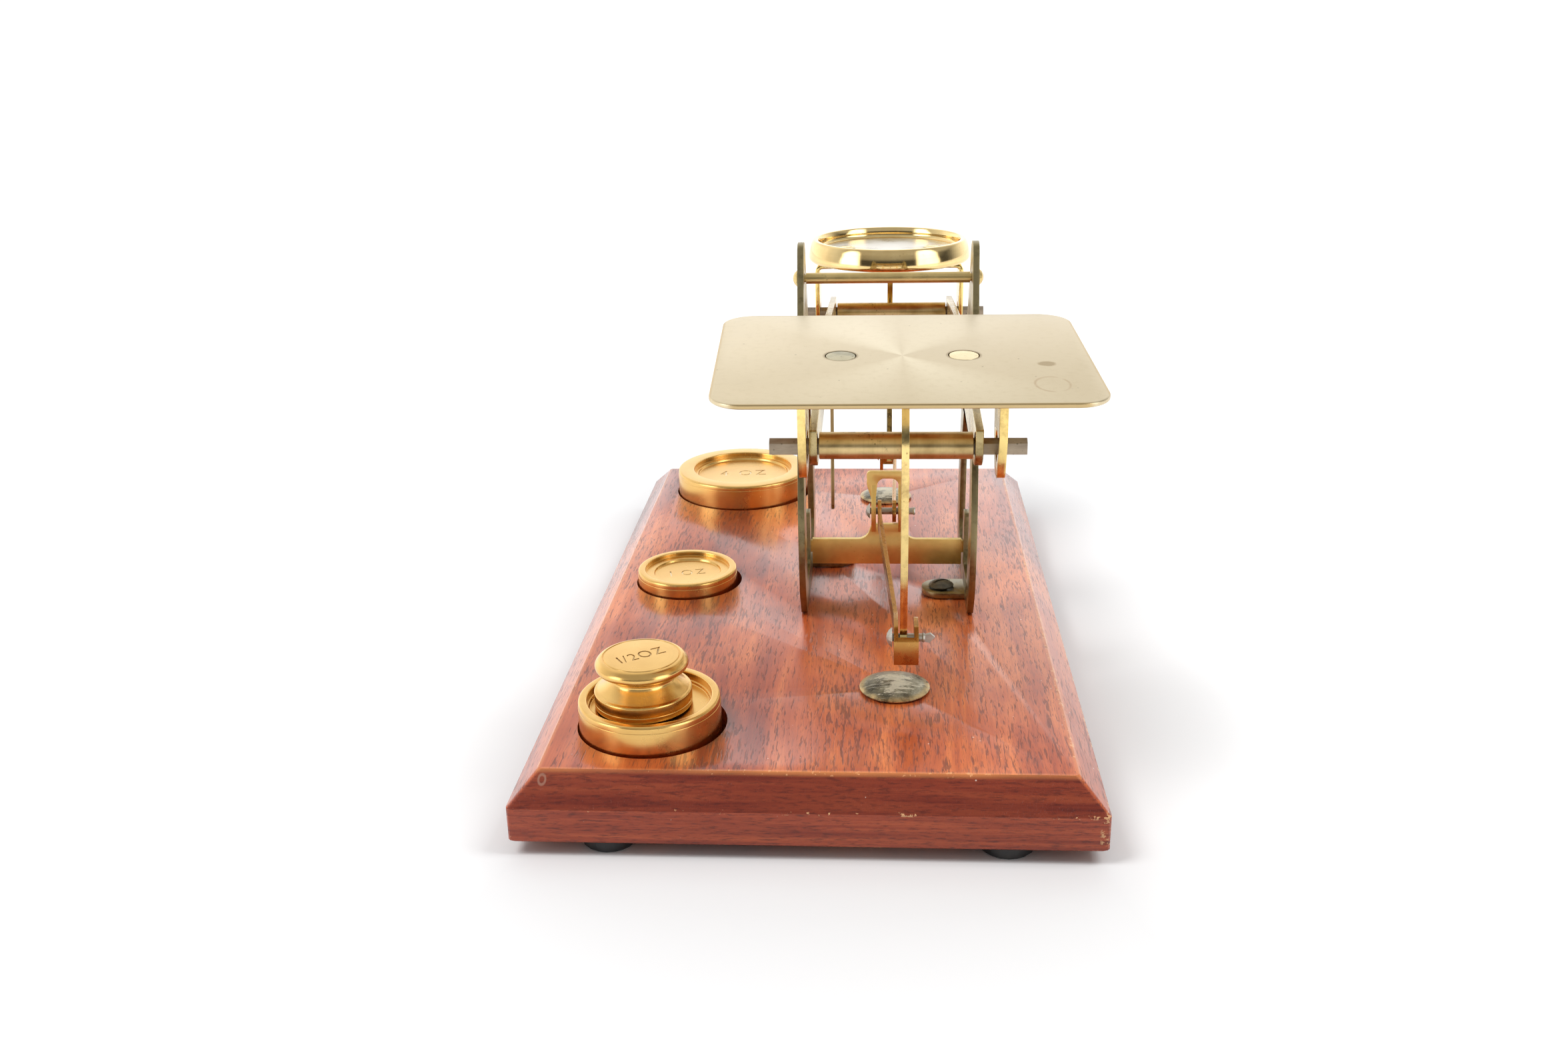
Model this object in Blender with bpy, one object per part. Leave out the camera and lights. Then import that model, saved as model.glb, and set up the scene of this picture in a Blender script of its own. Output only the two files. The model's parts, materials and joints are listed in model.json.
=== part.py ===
"""Brass postal balance on a mahogany base, with four loose weights.

Two side plates carry the centre knife of a two-bar beam. The letter plate hangs on the front
knife and the weight pan on the rear one. Below them, two stays keep both pans upright.

Frame: +X to the right, +Y to the back, +Z up. The origin lies on the table, below the middle
of the base. Lengths are metres: a number times MM is a number of millimetres.
"""

import math

import bmesh
import bpy
from mathutils import Euler, Matrix, Vector

MM = 0.001

# Driving dimensions.
GAP = 0.3 * MM                       # between pieces that touch
FOOT_HEIGHT = 2.5 * MM
FOOT_RADIUS = 5.2 * MM
FOOT_X = 34.2 * MM
FOOT_Y = 82.9 * MM
BASE_WIDTH = 101.6 * MM
BASE_LENGTH = 177.8 * MM
BASE_EDGE = 6.5 * MM                 # height of the upright edge under the chamfer
BASE_RISE = 5.15 * MM                # height of the chamfer
BASE_INSET = 4.95 * MM               # width of the chamfer
BASE_BOTTOM = FOOT_HEIGHT
BASE_TOP = BASE_BOTTOM + BASE_EDGE + BASE_RISE

# The mechanism is measured from the middle of the frame, at the base's top.
MIDDLE_X = 14.0 * MM
MIDDLE_Y = 2.0 * MM
FULCRUM_Z = BASE_TOP + 53.25 * MM
ARM_LENGTH = 57.4 * MM               # fulcrum to end knife, along Y
ARM_DROP = 4.4 * MM                  # fulcrum to end knife, along Z
LINK_HEIGHT = 36.8 * MM              # each beam knife to the stay pin below it

FRAME_INSIDE = 33.5 * MM             # between the side plates at the base
FRAME_SHEET = 1.3 * MM
FRAME_FLARE = 0.0078                 # each plate leans out by this much of its height
TIE_BAR_HEIGHT = 67.9 * MM           # above the base
BEAM_X = 15.2 * MM
BEAM_WIDTH = 30.2 * MM
BEAM_SHEET = 1.4 * MM
KNIFE_WIDTH = 2.1 * MM
KNIFE_HEIGHT = 2.8 * MM
KNIFE_EDGE = 0.8 * MM                # height of the knife's wedge
SPACER_RADIUS = 2.4 * MM
SPACER_BORE = 2.05 * MM

CARRIER_DEPTH = 12.0 * MM            # width of the pan carriers' strip, along Y
PIN_RADIUS = 0.75 * MM
STEM_SHEET = 1.3 * MM
STAY_SHEET = 0.8 * MM

LETTER_X = 16.2 * MM
LETTER_PLATE = (63.8 * MM, 49.8 * MM, 0.8 * MM)
LETTER_TURN = Euler([math.radians(a) for a in (4.4, 0.5, 2.35)])
RIVET_SPACING = 21.1 * MM
WEIGHT_PAN_X = 14.6 * MM
WEIGHT_PAN_BOTTOM = BASE_TOP + 62.1 * MM

ROUND_STEPS = 48
SMALL_STEPS = 16
ARC_STEP = math.radians(15)          # of an outline's rounded corners
SMOOTH_ANGLE = math.radians(35)

FULCRUM = Vector((MIDDLE_X, MIDDLE_Y, FULCRUM_Z))
FRONT_KNIFE = FULCRUM + Vector((0, -ARM_LENGTH, -ARM_DROP))
REAR_KNIFE = FULCRUM + Vector((0, ARM_LENGTH, -ARM_DROP))
LINK = Vector((0, 0, -LINK_HEIGHT))
STAY_PIVOT = FULCRUM + LINK


# Scene and materials.

def clear_scene():
    for old in list(bpy.data.objects):
        bpy.data.objects.remove(old, do_unlink=True)


def finish(name, colour, roughness, metallic):
    """A plain Principled material."""
    material = bpy.data.materials.new(name)
    material.use_nodes = True
    shader = material.node_tree.nodes["Principled BSDF"]
    shader.inputs["Base Color"].default_value = (*colour, 1.0)
    shader.inputs["Roughness"].default_value = roughness
    shader.inputs["Metallic"].default_value = metallic
    return material


def pivot(name, place):
    """An empty on a joint's axis, the parent of what moves there."""
    empty = bpy.data.objects.new(name, None)
    empty.location = place
    bpy.context.scene.collection.objects.link(empty)
    return empty


def add(name, bm, material, parent=None):
    """Turn a bmesh in world coordinates into an object, on its parent's origin if it has one."""
    bmesh.ops.remove_doubles(bm, verts=bm.verts, dist=1e-6)
    bmesh.ops.recalc_face_normals(bm, faces=bm.faces)
    mesh = bpy.data.meshes.new(name)
    bm.to_mesh(mesh)
    bm.free()
    mesh.shade_smooth()
    mesh.set_sharp_from_angle(angle=SMOOTH_ANGLE)
    mesh.materials.append(material)
    part = bpy.data.objects.new(name, mesh)
    bpy.context.scene.collection.objects.link(part)
    if parent is not None:
        mesh.transform(Matrix.Translation(-parent.location))
        part.parent = parent
    return part


def combine(part, tools, operation):
    """Cut, trim or extend a part with helper solids, which stay out of the model."""
    for tool in tools:
        tool.hide_render = True
        tool.display_type = "WIRE"
        step = part.modifiers.new(operation.title(), "BOOLEAN")
        step.operation = operation
        step.solver = "EXACT"
        step.object = tool


# Outlines: lists of 2-D points.

def rounded(corners, turn_step=ARC_STEP):
    """Replace each corner (u, v, radius) by an arc of that radius."""
    points = []
    count = len(corners)
    for i, (u, v, radius) in enumerate(corners):
        here = Vector((u, v))
        before = Vector(corners[i - 1][:2]) - here
        after = Vector(corners[(i + 1) % count][:2]) - here
        half = before.angle(after) / 2
        if radius == 0 or half > math.radians(89.5):
            points.append((u, v))
            continue
        reach = radius / math.tan(half)
        centre = here + (before.normalized() + after.normalized()).normalized() * radius / math.sin(half)
        start = here + before.normalized() * reach - centre
        sweep = math.pi - 2 * half
        steps = max(1, round(sweep / turn_step))
        side = 1 if before.x * after.y - before.y * after.x < 0 else -1
        for k in range(steps + 1):
            turned_start = Matrix.Rotation(side * sweep * k / steps, 2) @ start
            points.append(tuple(centre + turned_start))
    return points


def circle(u, v, radius, steps=SMALL_STEPS):
    angles = [2 * math.pi * k / steps for k in range(steps)]
    return [(u + radius * math.cos(a), v + radius * math.sin(a)) for a in angles]


def drop_hole(u, v, radius, point):
    """A round hole drawn down to a point: the seat of a knife."""
    half = math.acos(radius / point)
    sweep = 2 * math.pi - 2 * half
    steps = 14
    angles = [-math.pi / 2 + half + sweep * k / steps for k in range(steps + 1)]
    arc = [(u + radius * math.cos(a), v + radius * math.sin(a)) for a in angles]
    return arc + [(u, v - point)]


def mirrored(half):
    """Complete an outline that is symmetric about u = 0 from its right half, top to bottom."""
    return half + [(-u, v, r) for u, v, r in reversed(half) if u > 0]


def ribbon(path, thickness):
    """The outline of a sheet seen on its edge, bent along a path of 2-D points."""
    path = [Vector(p) for p in path]
    runs = [(b - a).normalized() for a, b in zip(path, path[1:])]
    left = []
    right = []
    for i, p in enumerate(path):
        before = runs[max(i - 1, 0)]
        after = runs[min(i, len(runs) - 1)]
        middle = (before + after).normalized()
        normal = Vector((-middle.y, middle.x))
        reach = thickness / 2 / middle.dot(after)
        left.append(tuple(p + normal * reach))
        right.append(tuple(p - normal * reach))
    return left + right[::-1]


def bent(path, radius, steps=4):
    """Round the inner points of an open path, as a sheet is bent."""
    points = [path[0]]
    for a, b, c in zip(path, path[1:], path[2:]):
        here = Vector(b)
        before = (Vector(a) - here).normalized()
        after = (Vector(c) - here).normalized()
        half = before.angle(after) / 2
        reach = radius / math.tan(half)
        for k in range(steps + 1):
            t = k / steps
            start = here + before * reach
            end = here + after * reach
            points.append(tuple(start * (1 - t) ** 2 + here * 2 * t * (1 - t) + end * t ** 2))
    return points + [path[-1]]


def curve_points(knots, steps=6):
    """A smooth Catmull-Rom curve through a few knots."""
    knots = [Vector(k) for k in knots]
    knots = [2 * knots[0] - knots[1]] + knots + [2 * knots[-1] - knots[-2]]
    points = []
    for a, b, c, d in zip(knots, knots[1:], knots[2:], knots[3:]):
        for k in range(steps):
            t = k / steps
            points.append(0.5 * (2 * b + (c - a) * t + (2 * a - 5 * b + 4 * c - d) * t * t
                                 + (3 * b - a - 3 * c + d) * t ** 3))
    points.append(knots[-2])
    return points


# Solids.

AXES = {
    "X": lambda u, v, w: Vector((w, u, v)),      # outline in Y-Z, thick along X
    "Y": lambda u, v, w: Vector((u, w, v)),      # outline in X-Z, thick along Y
    "Z": lambda u, v, w: Vector((u, v, w)),      # outline in X-Y, thick along Z
}


def prism(outline, axis, low, high, holes=(), bevel=0.0):
    """Extrude an outline with holes between two planes."""
    bm = bmesh.new()
    edges = []
    for loop in (outline, *holes):
        verts = [bm.verts.new(AXES[axis](u, v, low)) for u, v in loop]
        for a, b in zip(verts, verts[1:] + verts[:1]):
            edges.append(bm.edges.new((a, b)))
    bmesh.ops.triangle_fill(bm, use_beauty=True, use_dissolve=False, edges=edges)
    rim = [e for e in bm.edges if e.is_boundary]
    cap = bmesh.ops.extrude_face_region(bm, geom=list(bm.faces))["geom"]
    top = [g for g in cap if isinstance(g, bmesh.types.BMVert)]
    bmesh.ops.translate(bm, verts=top, vec=AXES[axis](0, 0, high - low))
    if bevel:
        rim += [g for g in cap if isinstance(g, bmesh.types.BMEdge)
                and len({round(f.normal.dot(AXES[axis](0, 0, 1)), 3) for f in g.link_faces}) > 1]
        bmesh.ops.recalc_face_normals(bm, faces=bm.faces)
        bmesh.ops.bevel(bm, geom=rim, offset=bevel, segments=1, affect="EDGES")
    return bm


def turned(profile, axis, centre, steps=ROUND_STEPS):
    """Turn a profile of (radius, distance along the axis) points round an axis through centre."""
    bm = bmesh.new()
    verts = [bm.verts.new((r, 0, z)) for r, z in profile]
    edges = [bm.edges.new(pair) for pair in zip(verts, verts[1:])]
    bmesh.ops.spin(bm, geom=verts + edges, cent=(0, 0, 0), axis=(0, 0, 1),
                   angle=2 * math.pi, steps=steps, use_merge=True)
    bmesh.ops.remove_doubles(bm, verts=bm.verts, dist=1e-6)
    turn = {"X": Matrix.Rotation(math.pi / 2, 4, "Y"), "Z": Matrix.Identity(4)}[axis]
    bmesh.ops.transform(bm, matrix=Matrix.Translation(centre) @ turn, verts=bm.verts)
    return bm


def rod(radius, axis, centre, low, high, steps=SMALL_STEPS):
    """A plain round bar from low to high, measured along its axis from centre."""
    return turned([(0, low), (radius, low), (radius, high), (0, high)], axis, centre, steps)


def dome(radius, height, base, steps=3):
    """Profile points of a domed head, from its rim to its crown."""
    sphere = (radius ** 2 + height ** 2) / (2 * height)
    widest = math.asin(min(1.0, radius / sphere))
    angles = [widest * (1 - k / steps) for k in range(steps + 1)]
    return [(sphere * math.sin(a), base + sphere * math.cos(a) - sphere + height) for a in angles]


# The base and what stands on it.

# Each weight: name, centre on the base, radius, top above the base's top, height.
POCKETS = {
    "weight_2_oz": (-28.9 * MM, -66.7 * MM, 12.85 * MM, 5.5 * MM, 14.4 * MM),
    "weight_1_oz": (-30.7 * MM, 1.7 * MM, 11.1 * MM, 3.2 * MM, 9.6 * MM),
    "weight_4_oz": (-23.9 * MM, 66.6 * MM, 17.1 * MM, 6.1 * MM, 15.5 * MM),
}
POCKET_SHIFT = 0.35 * MM             # each weight stands a little left in its pocket
POCKET_PLAY = 0.7 * MM
KNOB_PLACE = (-30.0 * MM, -66.3 * MM)
KNOB_RECESS = 2.0 * MM               # depth of the recess that the knob weight stands in

STOP_RADIUS = 6.6 * MM
STOP_PLACES = {"stop_disc_front": (15.3 * MM, -52.2 * MM), "stop_disc_rear": (14.0 * MM, 59.6 * MM)}
TAB_SCREWS = {1: (11.85 * MM, -6.9 * MM), -1: (-11.6 * MM, 11.4 * MM)}  # from the frame's middle
TAB_RADIUS = 4.25 * MM
TAB_SHEET = 1.2 * MM
SCREW_RADIUS = 1.3 * MM
SCREW_DEPTH = 6.5 * MM


def tab_centre(side):
    """Screw place of the right (+1) or left (-1) plate's foot tab."""
    x, y = TAB_SCREWS[side]
    return MIDDLE_X + x, MIDDLE_Y + y


def make_base(wood):
    bm = bmesh.new()
    levels = [(BASE_BOTTOM, 0.4 * MM), (BASE_BOTTOM + 0.4 * MM, 0.0),
              (BASE_BOTTOM + BASE_EDGE, 0.0), (BASE_TOP, BASE_INSET)]
    rings = []
    for z, inset in levels:
        x = BASE_WIDTH / 2 - inset
        y = BASE_LENGTH / 2 - inset
        corner = 0.9 * MM
        ring = rounded([(x, y, corner), (-x, y, corner), (-x, -y, corner), (x, -y, corner)],
                       math.radians(30))
        rings.append([bm.verts.new((u, v, z)) for u, v in ring])
    for low, high in zip(rings, rings[1:]):
        for i in range(len(low)):
            bm.faces.new((low[i - 1], low[i], high[i], high[i - 1]))
    bm.faces.new(rings[0])
    bm.faces.new(rings[-1])
    base = add("wooden_base", bm, wood)

    cutters = bmesh.new()

    def drill(x, y, radius, bottom, steps):
        hole = rod(radius, "Z", (x, y, 0), bottom, BASE_TOP + 1 * MM, steps)
        mesh = bpy.data.meshes.new("hole")
        hole.to_mesh(mesh)
        hole.free()
        cutters.from_mesh(mesh)
        bpy.data.meshes.remove(mesh)

    for x, y, radius, top, height in POCKETS.values():
        drill(x + POCKET_SHIFT, y, radius + POCKET_PLAY, BASE_TOP + top - height - GAP, ROUND_STEPS)
    for x, y in STOP_PLACES.values():
        drill(x, y, 0.9 * MM, BASE_TOP - 6.0 * MM, SMALL_STEPS)
    for side in (1, -1):
        x, y = tab_centre(side)
        drill(x, y, SCREW_RADIUS + GAP, BASE_TOP - SCREW_DEPTH - GAP, SMALL_STEPS)
    combine(base, [add("base_pockets", cutters, wood)], "DIFFERENCE")


def make_feet(rubber):
    for y_name, y_side in (("front", -1), ("rear", 1)):
        for x_name, x_side in (("left", -1), ("right", 1)):
            place = (x_side * FOOT_X, y_side * FOOT_Y, 0)
            top = FOOT_HEIGHT - GAP
            profile = [(0, top), (FOOT_RADIUS, top), (FOOT_RADIUS - 0.3 * MM, 0.3 * MM),
                       (FOOT_RADIUS - 0.6 * MM, 0), (0, 0)]
            add(f"foot_{y_name}_{x_name}", turned(profile, "Z", place, 20), rubber)


def make_stop_discs(silver):
    for name, (x, y) in STOP_PLACES.items():
        low = GAP
        profile = [(0, -5.5 * MM), (0.6 * MM, -4.0 * MM), (0.6 * MM, low), (STOP_RADIUS, low)]
        profile += dome(STOP_RADIUS, 1.3 * MM, low + 0.25 * MM)
        add(name, turned(profile, "Z", (x, y, BASE_TOP)), silver)


# The four weights.

def ring_weight(name, brass, recess, rim_width, ledge):
    """A disc weight with a raised rim round a recess, which has a small ledge inside the rim."""
    x, y, radius, top, height = POCKETS[name]
    bottom = top - height
    rim = radius - rim_width
    soft = 0.5 * MM
    profile = [(0, bottom), (radius - soft, bottom), (radius, bottom + soft),
               (radius, top - soft), (radius - 0.35 * soft, top - 0.15 * soft), (radius - soft, top),
               (rim + 0.2 * MM, top), (rim, top - 0.2 * MM), (rim, top - recess),
               (rim - ledge, top - recess), (rim - ledge - 0.2 * MM, top - recess - 0.5 * MM),
               (0, top - recess - 0.5 * MM)]
    add(name, turned(profile, "Z", (x, y, BASE_TOP)), brass)


def make_weights(brass):
    ring_weight("weight_2_oz", brass, KNOB_RECESS - 0.5 * MM, 1.65 * MM, 0.2 * MM)
    ring_weight("weight_1_oz", brass, 1.0 * MM, 1.7 * MM, 1.9 * MM)
    ring_weight("weight_4_oz", brass, 1.3 * MM, 4.2 * MM, 1.0 * MM)

    x, y = KNOB_PLACE
    floor = BASE_TOP + POCKETS["weight_2_oz"][3] - KNOB_RECESS + GAP
    profile = [(0, 0), (8.4, 0), (8.8, 0.4), (8.8, 2.9), (8.6, 3.1), (8.0, 3.2), (6.2, 4.9),
               (5.8, 5.5), (6.0, 6.1), (6.9, 6.6), (8.0, 7.1), (8.4, 7.7), (8.4, 8.4),
               (8.0, 9.0), (7.2, 9.3), (6.9, 9.15), (6.7, 9.3), (0, 9.3)]
    profile = [(r * MM, z * MM) for r, z in profile]
    add("weight_half_oz", turned(profile, "Z", (x, y, floor)), brass)


# The frame.

def above_base(points):
    """Turn (u, height above the base, radius) in millimetres into rounded Y-Z points."""
    corners = [(MIDDLE_Y + u * MM, BASE_TOP + v * MM, r * MM) for u, v, r in points]
    return rounded(corners)


def lean(bm, side):
    """Lean a side plate outwards, from the base up."""
    for vert in bm.verts:
        vert.co.x += side * FRAME_FLARE * max(0.0, vert.co.z - BASE_TOP)
    return bm


def make_side_plates(brass):
    foot = GAP / MM
    outer = above_base(mirrored([
        (0, 75.4, 0), (2.9, 75.0, 2.6), (7.6, 63.4, 12), (22.3, 31, 40), (24.3, 16.0, 20),
        (23.6, 6.6, 4), (19.4, foot, 1.2)]))
    opening = above_base(mirrored([
        (0, 45.4, 0), (6.6, 45.2, 5), (15.9, 27, 14), (16.2, 9, 12), (15.8, 5.3, 4.5),
        (3.2, 5.3, 1.2), (2.2, 8.5, 2), (1.9, 16.5, 0.8)]))
    seat = drop_hole(FULCRUM.y, FULCRUM.z + 0.2 * MM, 2.5 * MM, 3.6 * MM)
    tie_hole = circle(MIDDLE_Y, BASE_TOP + TIE_BAR_HEIGHT, 0.8 * MM + GAP)
    slot_low = BASE_TOP + 7.0 * MM - GAP
    slot_high = BASE_TOP + 9.6 * MM + GAP
    slot_half = 0.6 * MM + GAP
    slot = [(MIDDLE_Y - slot_half, slot_low), (MIDDLE_Y + slot_half, slot_low),
            (MIDDLE_Y + slot_half, slot_high), (MIDDLE_Y - slot_half, slot_high)]
    for name, side in (("frame_plate_right", 1), ("frame_plate_left", -1)):
        inner_x = MIDDLE_X + side * FRAME_INSIDE / 2
        outer_x = inner_x + side * FRAME_SHEET
        sheet = prism(outer, "X", inner_x, outer_x, (opening, seat, tie_hole, slot))
        plate = add(name, lean(sheet, side), brass)
        x, y = tab_centre(side)
        root = outer_x - side * 0.35 * MM
        tip = x - side * TAB_RADIUS
        bend = TAB_RADIUS * 0.98
        corners = [(root, y + TAB_RADIUS, 0.0), (tip, y + TAB_RADIUS, bend),
                   (tip, y - TAB_RADIUS, bend), (root, y - TAB_RADIUS, 0.0)]
        hole = circle(x, y, SCREW_RADIUS + GAP)
        low = BASE_TOP + GAP
        tab = prism(rounded(corners), "Z", low, low + TAB_SHEET, (hole,))
        combine(plate, [add(name + "_tab", tab, brass)], "UNION")


def make_tie_bar(brass):
    """A shouldered round bar, its ends riveted over outside both plates."""
    inside = FRAME_INSIDE / 2 + FRAME_FLARE * TIE_BAR_HEIGHT
    half = inside - GAP
    face = inside + FRAME_SHEET + GAP
    tenon = 0.8 * MM
    head = dome(1.7 * MM, 0.9 * MM, face)
    right = [(1.15 * MM, half), (tenon, half), (tenon, face)] + head
    profile = [(r, -x) for r, x in reversed(right)] + right
    centre = (MIDDLE_X, MIDDLE_Y, BASE_TOP + TIE_BAR_HEIGHT)
    add("frame_tie_bar", turned(profile, "X", centre, SMALL_STEPS), brass)


def make_frame_screws(steel):
    for name, side in (("frame_screw_right", 1), ("frame_screw_left", -1)):
        x, y = tab_centre(side)
        seat = TAB_SHEET + 2 * GAP
        profile = [(0, -SCREW_DEPTH), (0.5 * MM, -SCREW_DEPTH + 1.5 * MM),
                   (SCREW_RADIUS, -SCREW_DEPTH + 4 * MM), (SCREW_RADIUS, seat), (2.7 * MM, seat)]
        profile += dome(2.7 * MM, 1.0 * MM, seat + 0.2 * MM)
        screw = add(name, turned(profile, "Z", (x, y, BASE_TOP), SMALL_STEPS), steel)
        top = BASE_TOP + seat + 1.2 * MM
        slot = [(x - 3.2 * MM, y - 0.3 * MM), (x + 3.2 * MM, y - 0.3 * MM),
                (x + 3.2 * MM, y + 0.3 * MM), (x - 3.2 * MM, y + 0.3 * MM)]
        cutter = prism(slot, "Z", top - 0.55 * MM, top + 1 * MM)
        bmesh.ops.rotate(cutter, verts=cutter.verts, cent=(x, y, 0),
                         matrix=Matrix.Rotation(math.radians(25), 3, "Z"))
        combine(screw, [add(name + "_slot", cutter, steel)], "DIFFERENCE")


BRACKET_LEGS = (11.1 * MM, 17.0 * MM)     # X of the fork's two legs
BRACKET_SHEET = 1.0 * MM


def make_stay_bracket(brass):
    """The cross plate between the side plates, with the fork that holds the stay pin."""
    half_sheet = 0.6 * MM
    end = FRAME_INSIDE / 2 - GAP
    tenon = FRAME_INSIDE / 2 + FRAME_SHEET
    left_leg, right_leg = BRACKET_LEGS
    low, shoulder, neck = 4.2, 10.0, 13.5
    right_half = [
        (MIDDLE_X + end, low, 0), (MIDDLE_X + end, 7.0, 0), (MIDDLE_X + tenon, 7.0, 0),
        (MIDDLE_X + tenon, 9.6, 0), (MIDDLE_X + end, 9.6, 0), (MIDDLE_X + end, shoulder, 0),
        (right_leg + 1.6 * MM, shoulder, 2.6), (right_leg + 0.4 * MM, neck, 0)]
    left_half = [
        (left_leg - 0.4 * MM, neck, 0), (left_leg - 1.6 * MM, shoulder, 2.6),
        (MIDDLE_X - end, shoulder, 0), (MIDDLE_X - end, 9.6, 0), (MIDDLE_X - tenon, 9.6, 0),
        (MIDDLE_X - tenon, 7.0, 0), (MIDDLE_X - end, 7.0, 0), (MIDDLE_X - end, low, 0)]
    outline = rounded([(x, BASE_TOP + z * MM, r * MM) for x, z, r in right_half + left_half])
    plate = add("stay_bracket", prism(outline, "Y", MIDDLE_Y - half_sheet, MIDDLE_Y + half_sheet), brass)

    # The fork's two ears, across the plate, hold the pin.
    ear = above_base([
        (-1.2, 12.0, 0), (-2.7, 15.0, 3), (-2.7, 18.4, 3), (-0.6, 22.5, 0), (0.6, 22.5, 0),
        (2.7, 18.4, 3), (2.7, 15.0, 3), (1.2, 12.0, 0)])
    hole = circle(STAY_PIVOT.y, STAY_PIVOT.z, PIN_RADIUS + GAP)
    half_ear = BRACKET_SHEET / 2
    ears = [prism(ear, "X", leg - half_ear, leg + half_ear, (hole,)) for leg in BRACKET_LEGS]

    # Above them a flat arch in the plate's own plane joins the legs.
    arch = rounded([(x * MM, BASE_TOP + z * MM, r * MM) for x, z, r in [
        (10.62, 19.4, 0), (9.6, 22.6, 2), (9.6, 25.7, 0.8), (18.9, 25.7, 1.4), (18.9, 22.6, 2),
        (17.48, 19.4, 0), (16.52, 19.4, 0), (16.6, 24.1, 1.6), (12.0, 24.1, 1.6), (11.58, 19.4, 0)]])
    bow = prism(arch, "Y", MIDDLE_Y - half_sheet + 0.03 * MM, MIDDLE_Y + half_sheet - 0.03 * MM)
    for k, solid in enumerate((*ears, bow)):
        combine(plate, [add(f"stay_bracket_fork_{k}", solid, brass)], "UNION")


def pin_profile(head, head_height, start, end):
    """A pin with a domed head at its left end, and a slightly swollen right end."""
    crown = [(r, -x) for r, x in reversed(dome(head, head_height, -start))]
    swell = PIN_RADIUS + 0.15 * MM
    return crown + [(PIN_RADIUS, start), (PIN_RADIUS, end - 0.5 * MM), (swell, end - 0.3 * MM),
                    (PIN_RADIUS, end), (0, end)]


def make_stay_pivot_pin(steel):
    left = BRACKET_LEGS[0] - BRACKET_SHEET / 2 - GAP
    profile = pin_profile(1.7 * MM, 0.9 * MM, left - MIDDLE_X, 6.2 * MM)
    add("stay_pivot_pin", turned(profile, "X", STAY_PIVOT, SMALL_STEPS), steel)


# The beam.

def knife_section(edge_up):
    """Y-Z corners of a knife about its axis: a bar with a wedge on one side."""
    half = KNIFE_WIDTH / 2
    tip = KNIFE_HEIGHT / 2
    points = [(-half, -tip), (half, -tip), (half, tip - KNIFE_EDGE), (0, tip), (-half, tip - KNIFE_EDGE)]
    return points if edge_up else [(u, -v) for u, v in points]


KNIVES = {
    "front": (FRONT_KNIFE, True, -7.0 * MM, 38.0 * MM, 0.0),
    "centre": (FULCRUM, False, -6.2 * MM, 34.2 * MM, 1.0 * MM),
    "rear": (REAR_KNIFE, True, -7.0 * MM, 38.0 * MM, 0.0),
}


def make_beam(brass, dull_brass, steel, beam):
    inner = BEAM_WIDTH / 2 - BEAM_SHEET
    outline = [(FULCRUM.y + u * MM, FULCRUM.z + v * MM, r * MM) for u, v, r in mirrored([
        (0, 4.3, 0), (60.2, -0.9, 0.3), (60.5, -8.6, 4.5), (46, -7.9, 30), (0.01, -5.0, 0)])]
    holes = []
    for place, edge_up, *_ in KNIVES.values():
        half = KNIFE_WIDTH / 2 + GAP
        tip = KNIFE_HEIGHT / 2 + GAP
        holes.append([(place.y - half, place.z - tip), (place.y + half, place.z - tip),
                      (place.y + half, place.z + tip), (place.y - half, place.z + tip)])
    for name, side in (("beam_bar_right", 1), ("beam_bar_left", -1)):
        inner_x = BEAM_X + side * inner
        outer_x = BEAM_X + side * BEAM_WIDTH / 2
        add(name, prism(rounded(outline), "X", inner_x, outer_x, holes), brass, beam)

    for name, (place, edge_up, left, right, clear) in KNIVES.items():
        section = [(place.y + u, place.z + v) for u, v in knife_section(edge_up)]
        add(f"knife_{name}", prism(section, "X", left, right), steel, beam)
        low = -inner + GAP + clear
        high = inner - GAP
        profile = [(SPACER_BORE, low), (SPACER_RADIUS, low), (SPACER_RADIUS, high), (SPACER_BORE, high),
                   (SPACER_BORE, low)]
        tube = turned(profile, "X", (BEAM_X, place.y, place.z), 20)
        add(f"spacer_{name}", tube, brass, beam)

    left = BEAM_X - inner + GAP
    eye = 3.4
    needle = rounded([(FULCRUM.y + u * MM, FULCRUM.z + v * MM, r * MM) for u, v, r in [
        (-eye, eye, eye * 0.98), (-eye, -eye, 2.4), (-0.6, -7.0, 3), (-0.6, -26.0, 0), (-1.0, -27.0, 0),
        (-0.8, -35.2, 0), (0, -36.4, 0), (0.8, -35.2, 0), (1.0, -27.0, 0), (0.6, -26.0, 0),
        (0.6, -7.0, 3), (eye, -eye, 2.4), (eye, eye, eye * 0.98)]])
    hole = circle(FULCRUM.y, FULCRUM.z, SPACER_BORE)
    add("pointer", prism(needle, "X", left, left + 0.7 * MM, (hole,)), dull_brass, beam)


# The pans.

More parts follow.
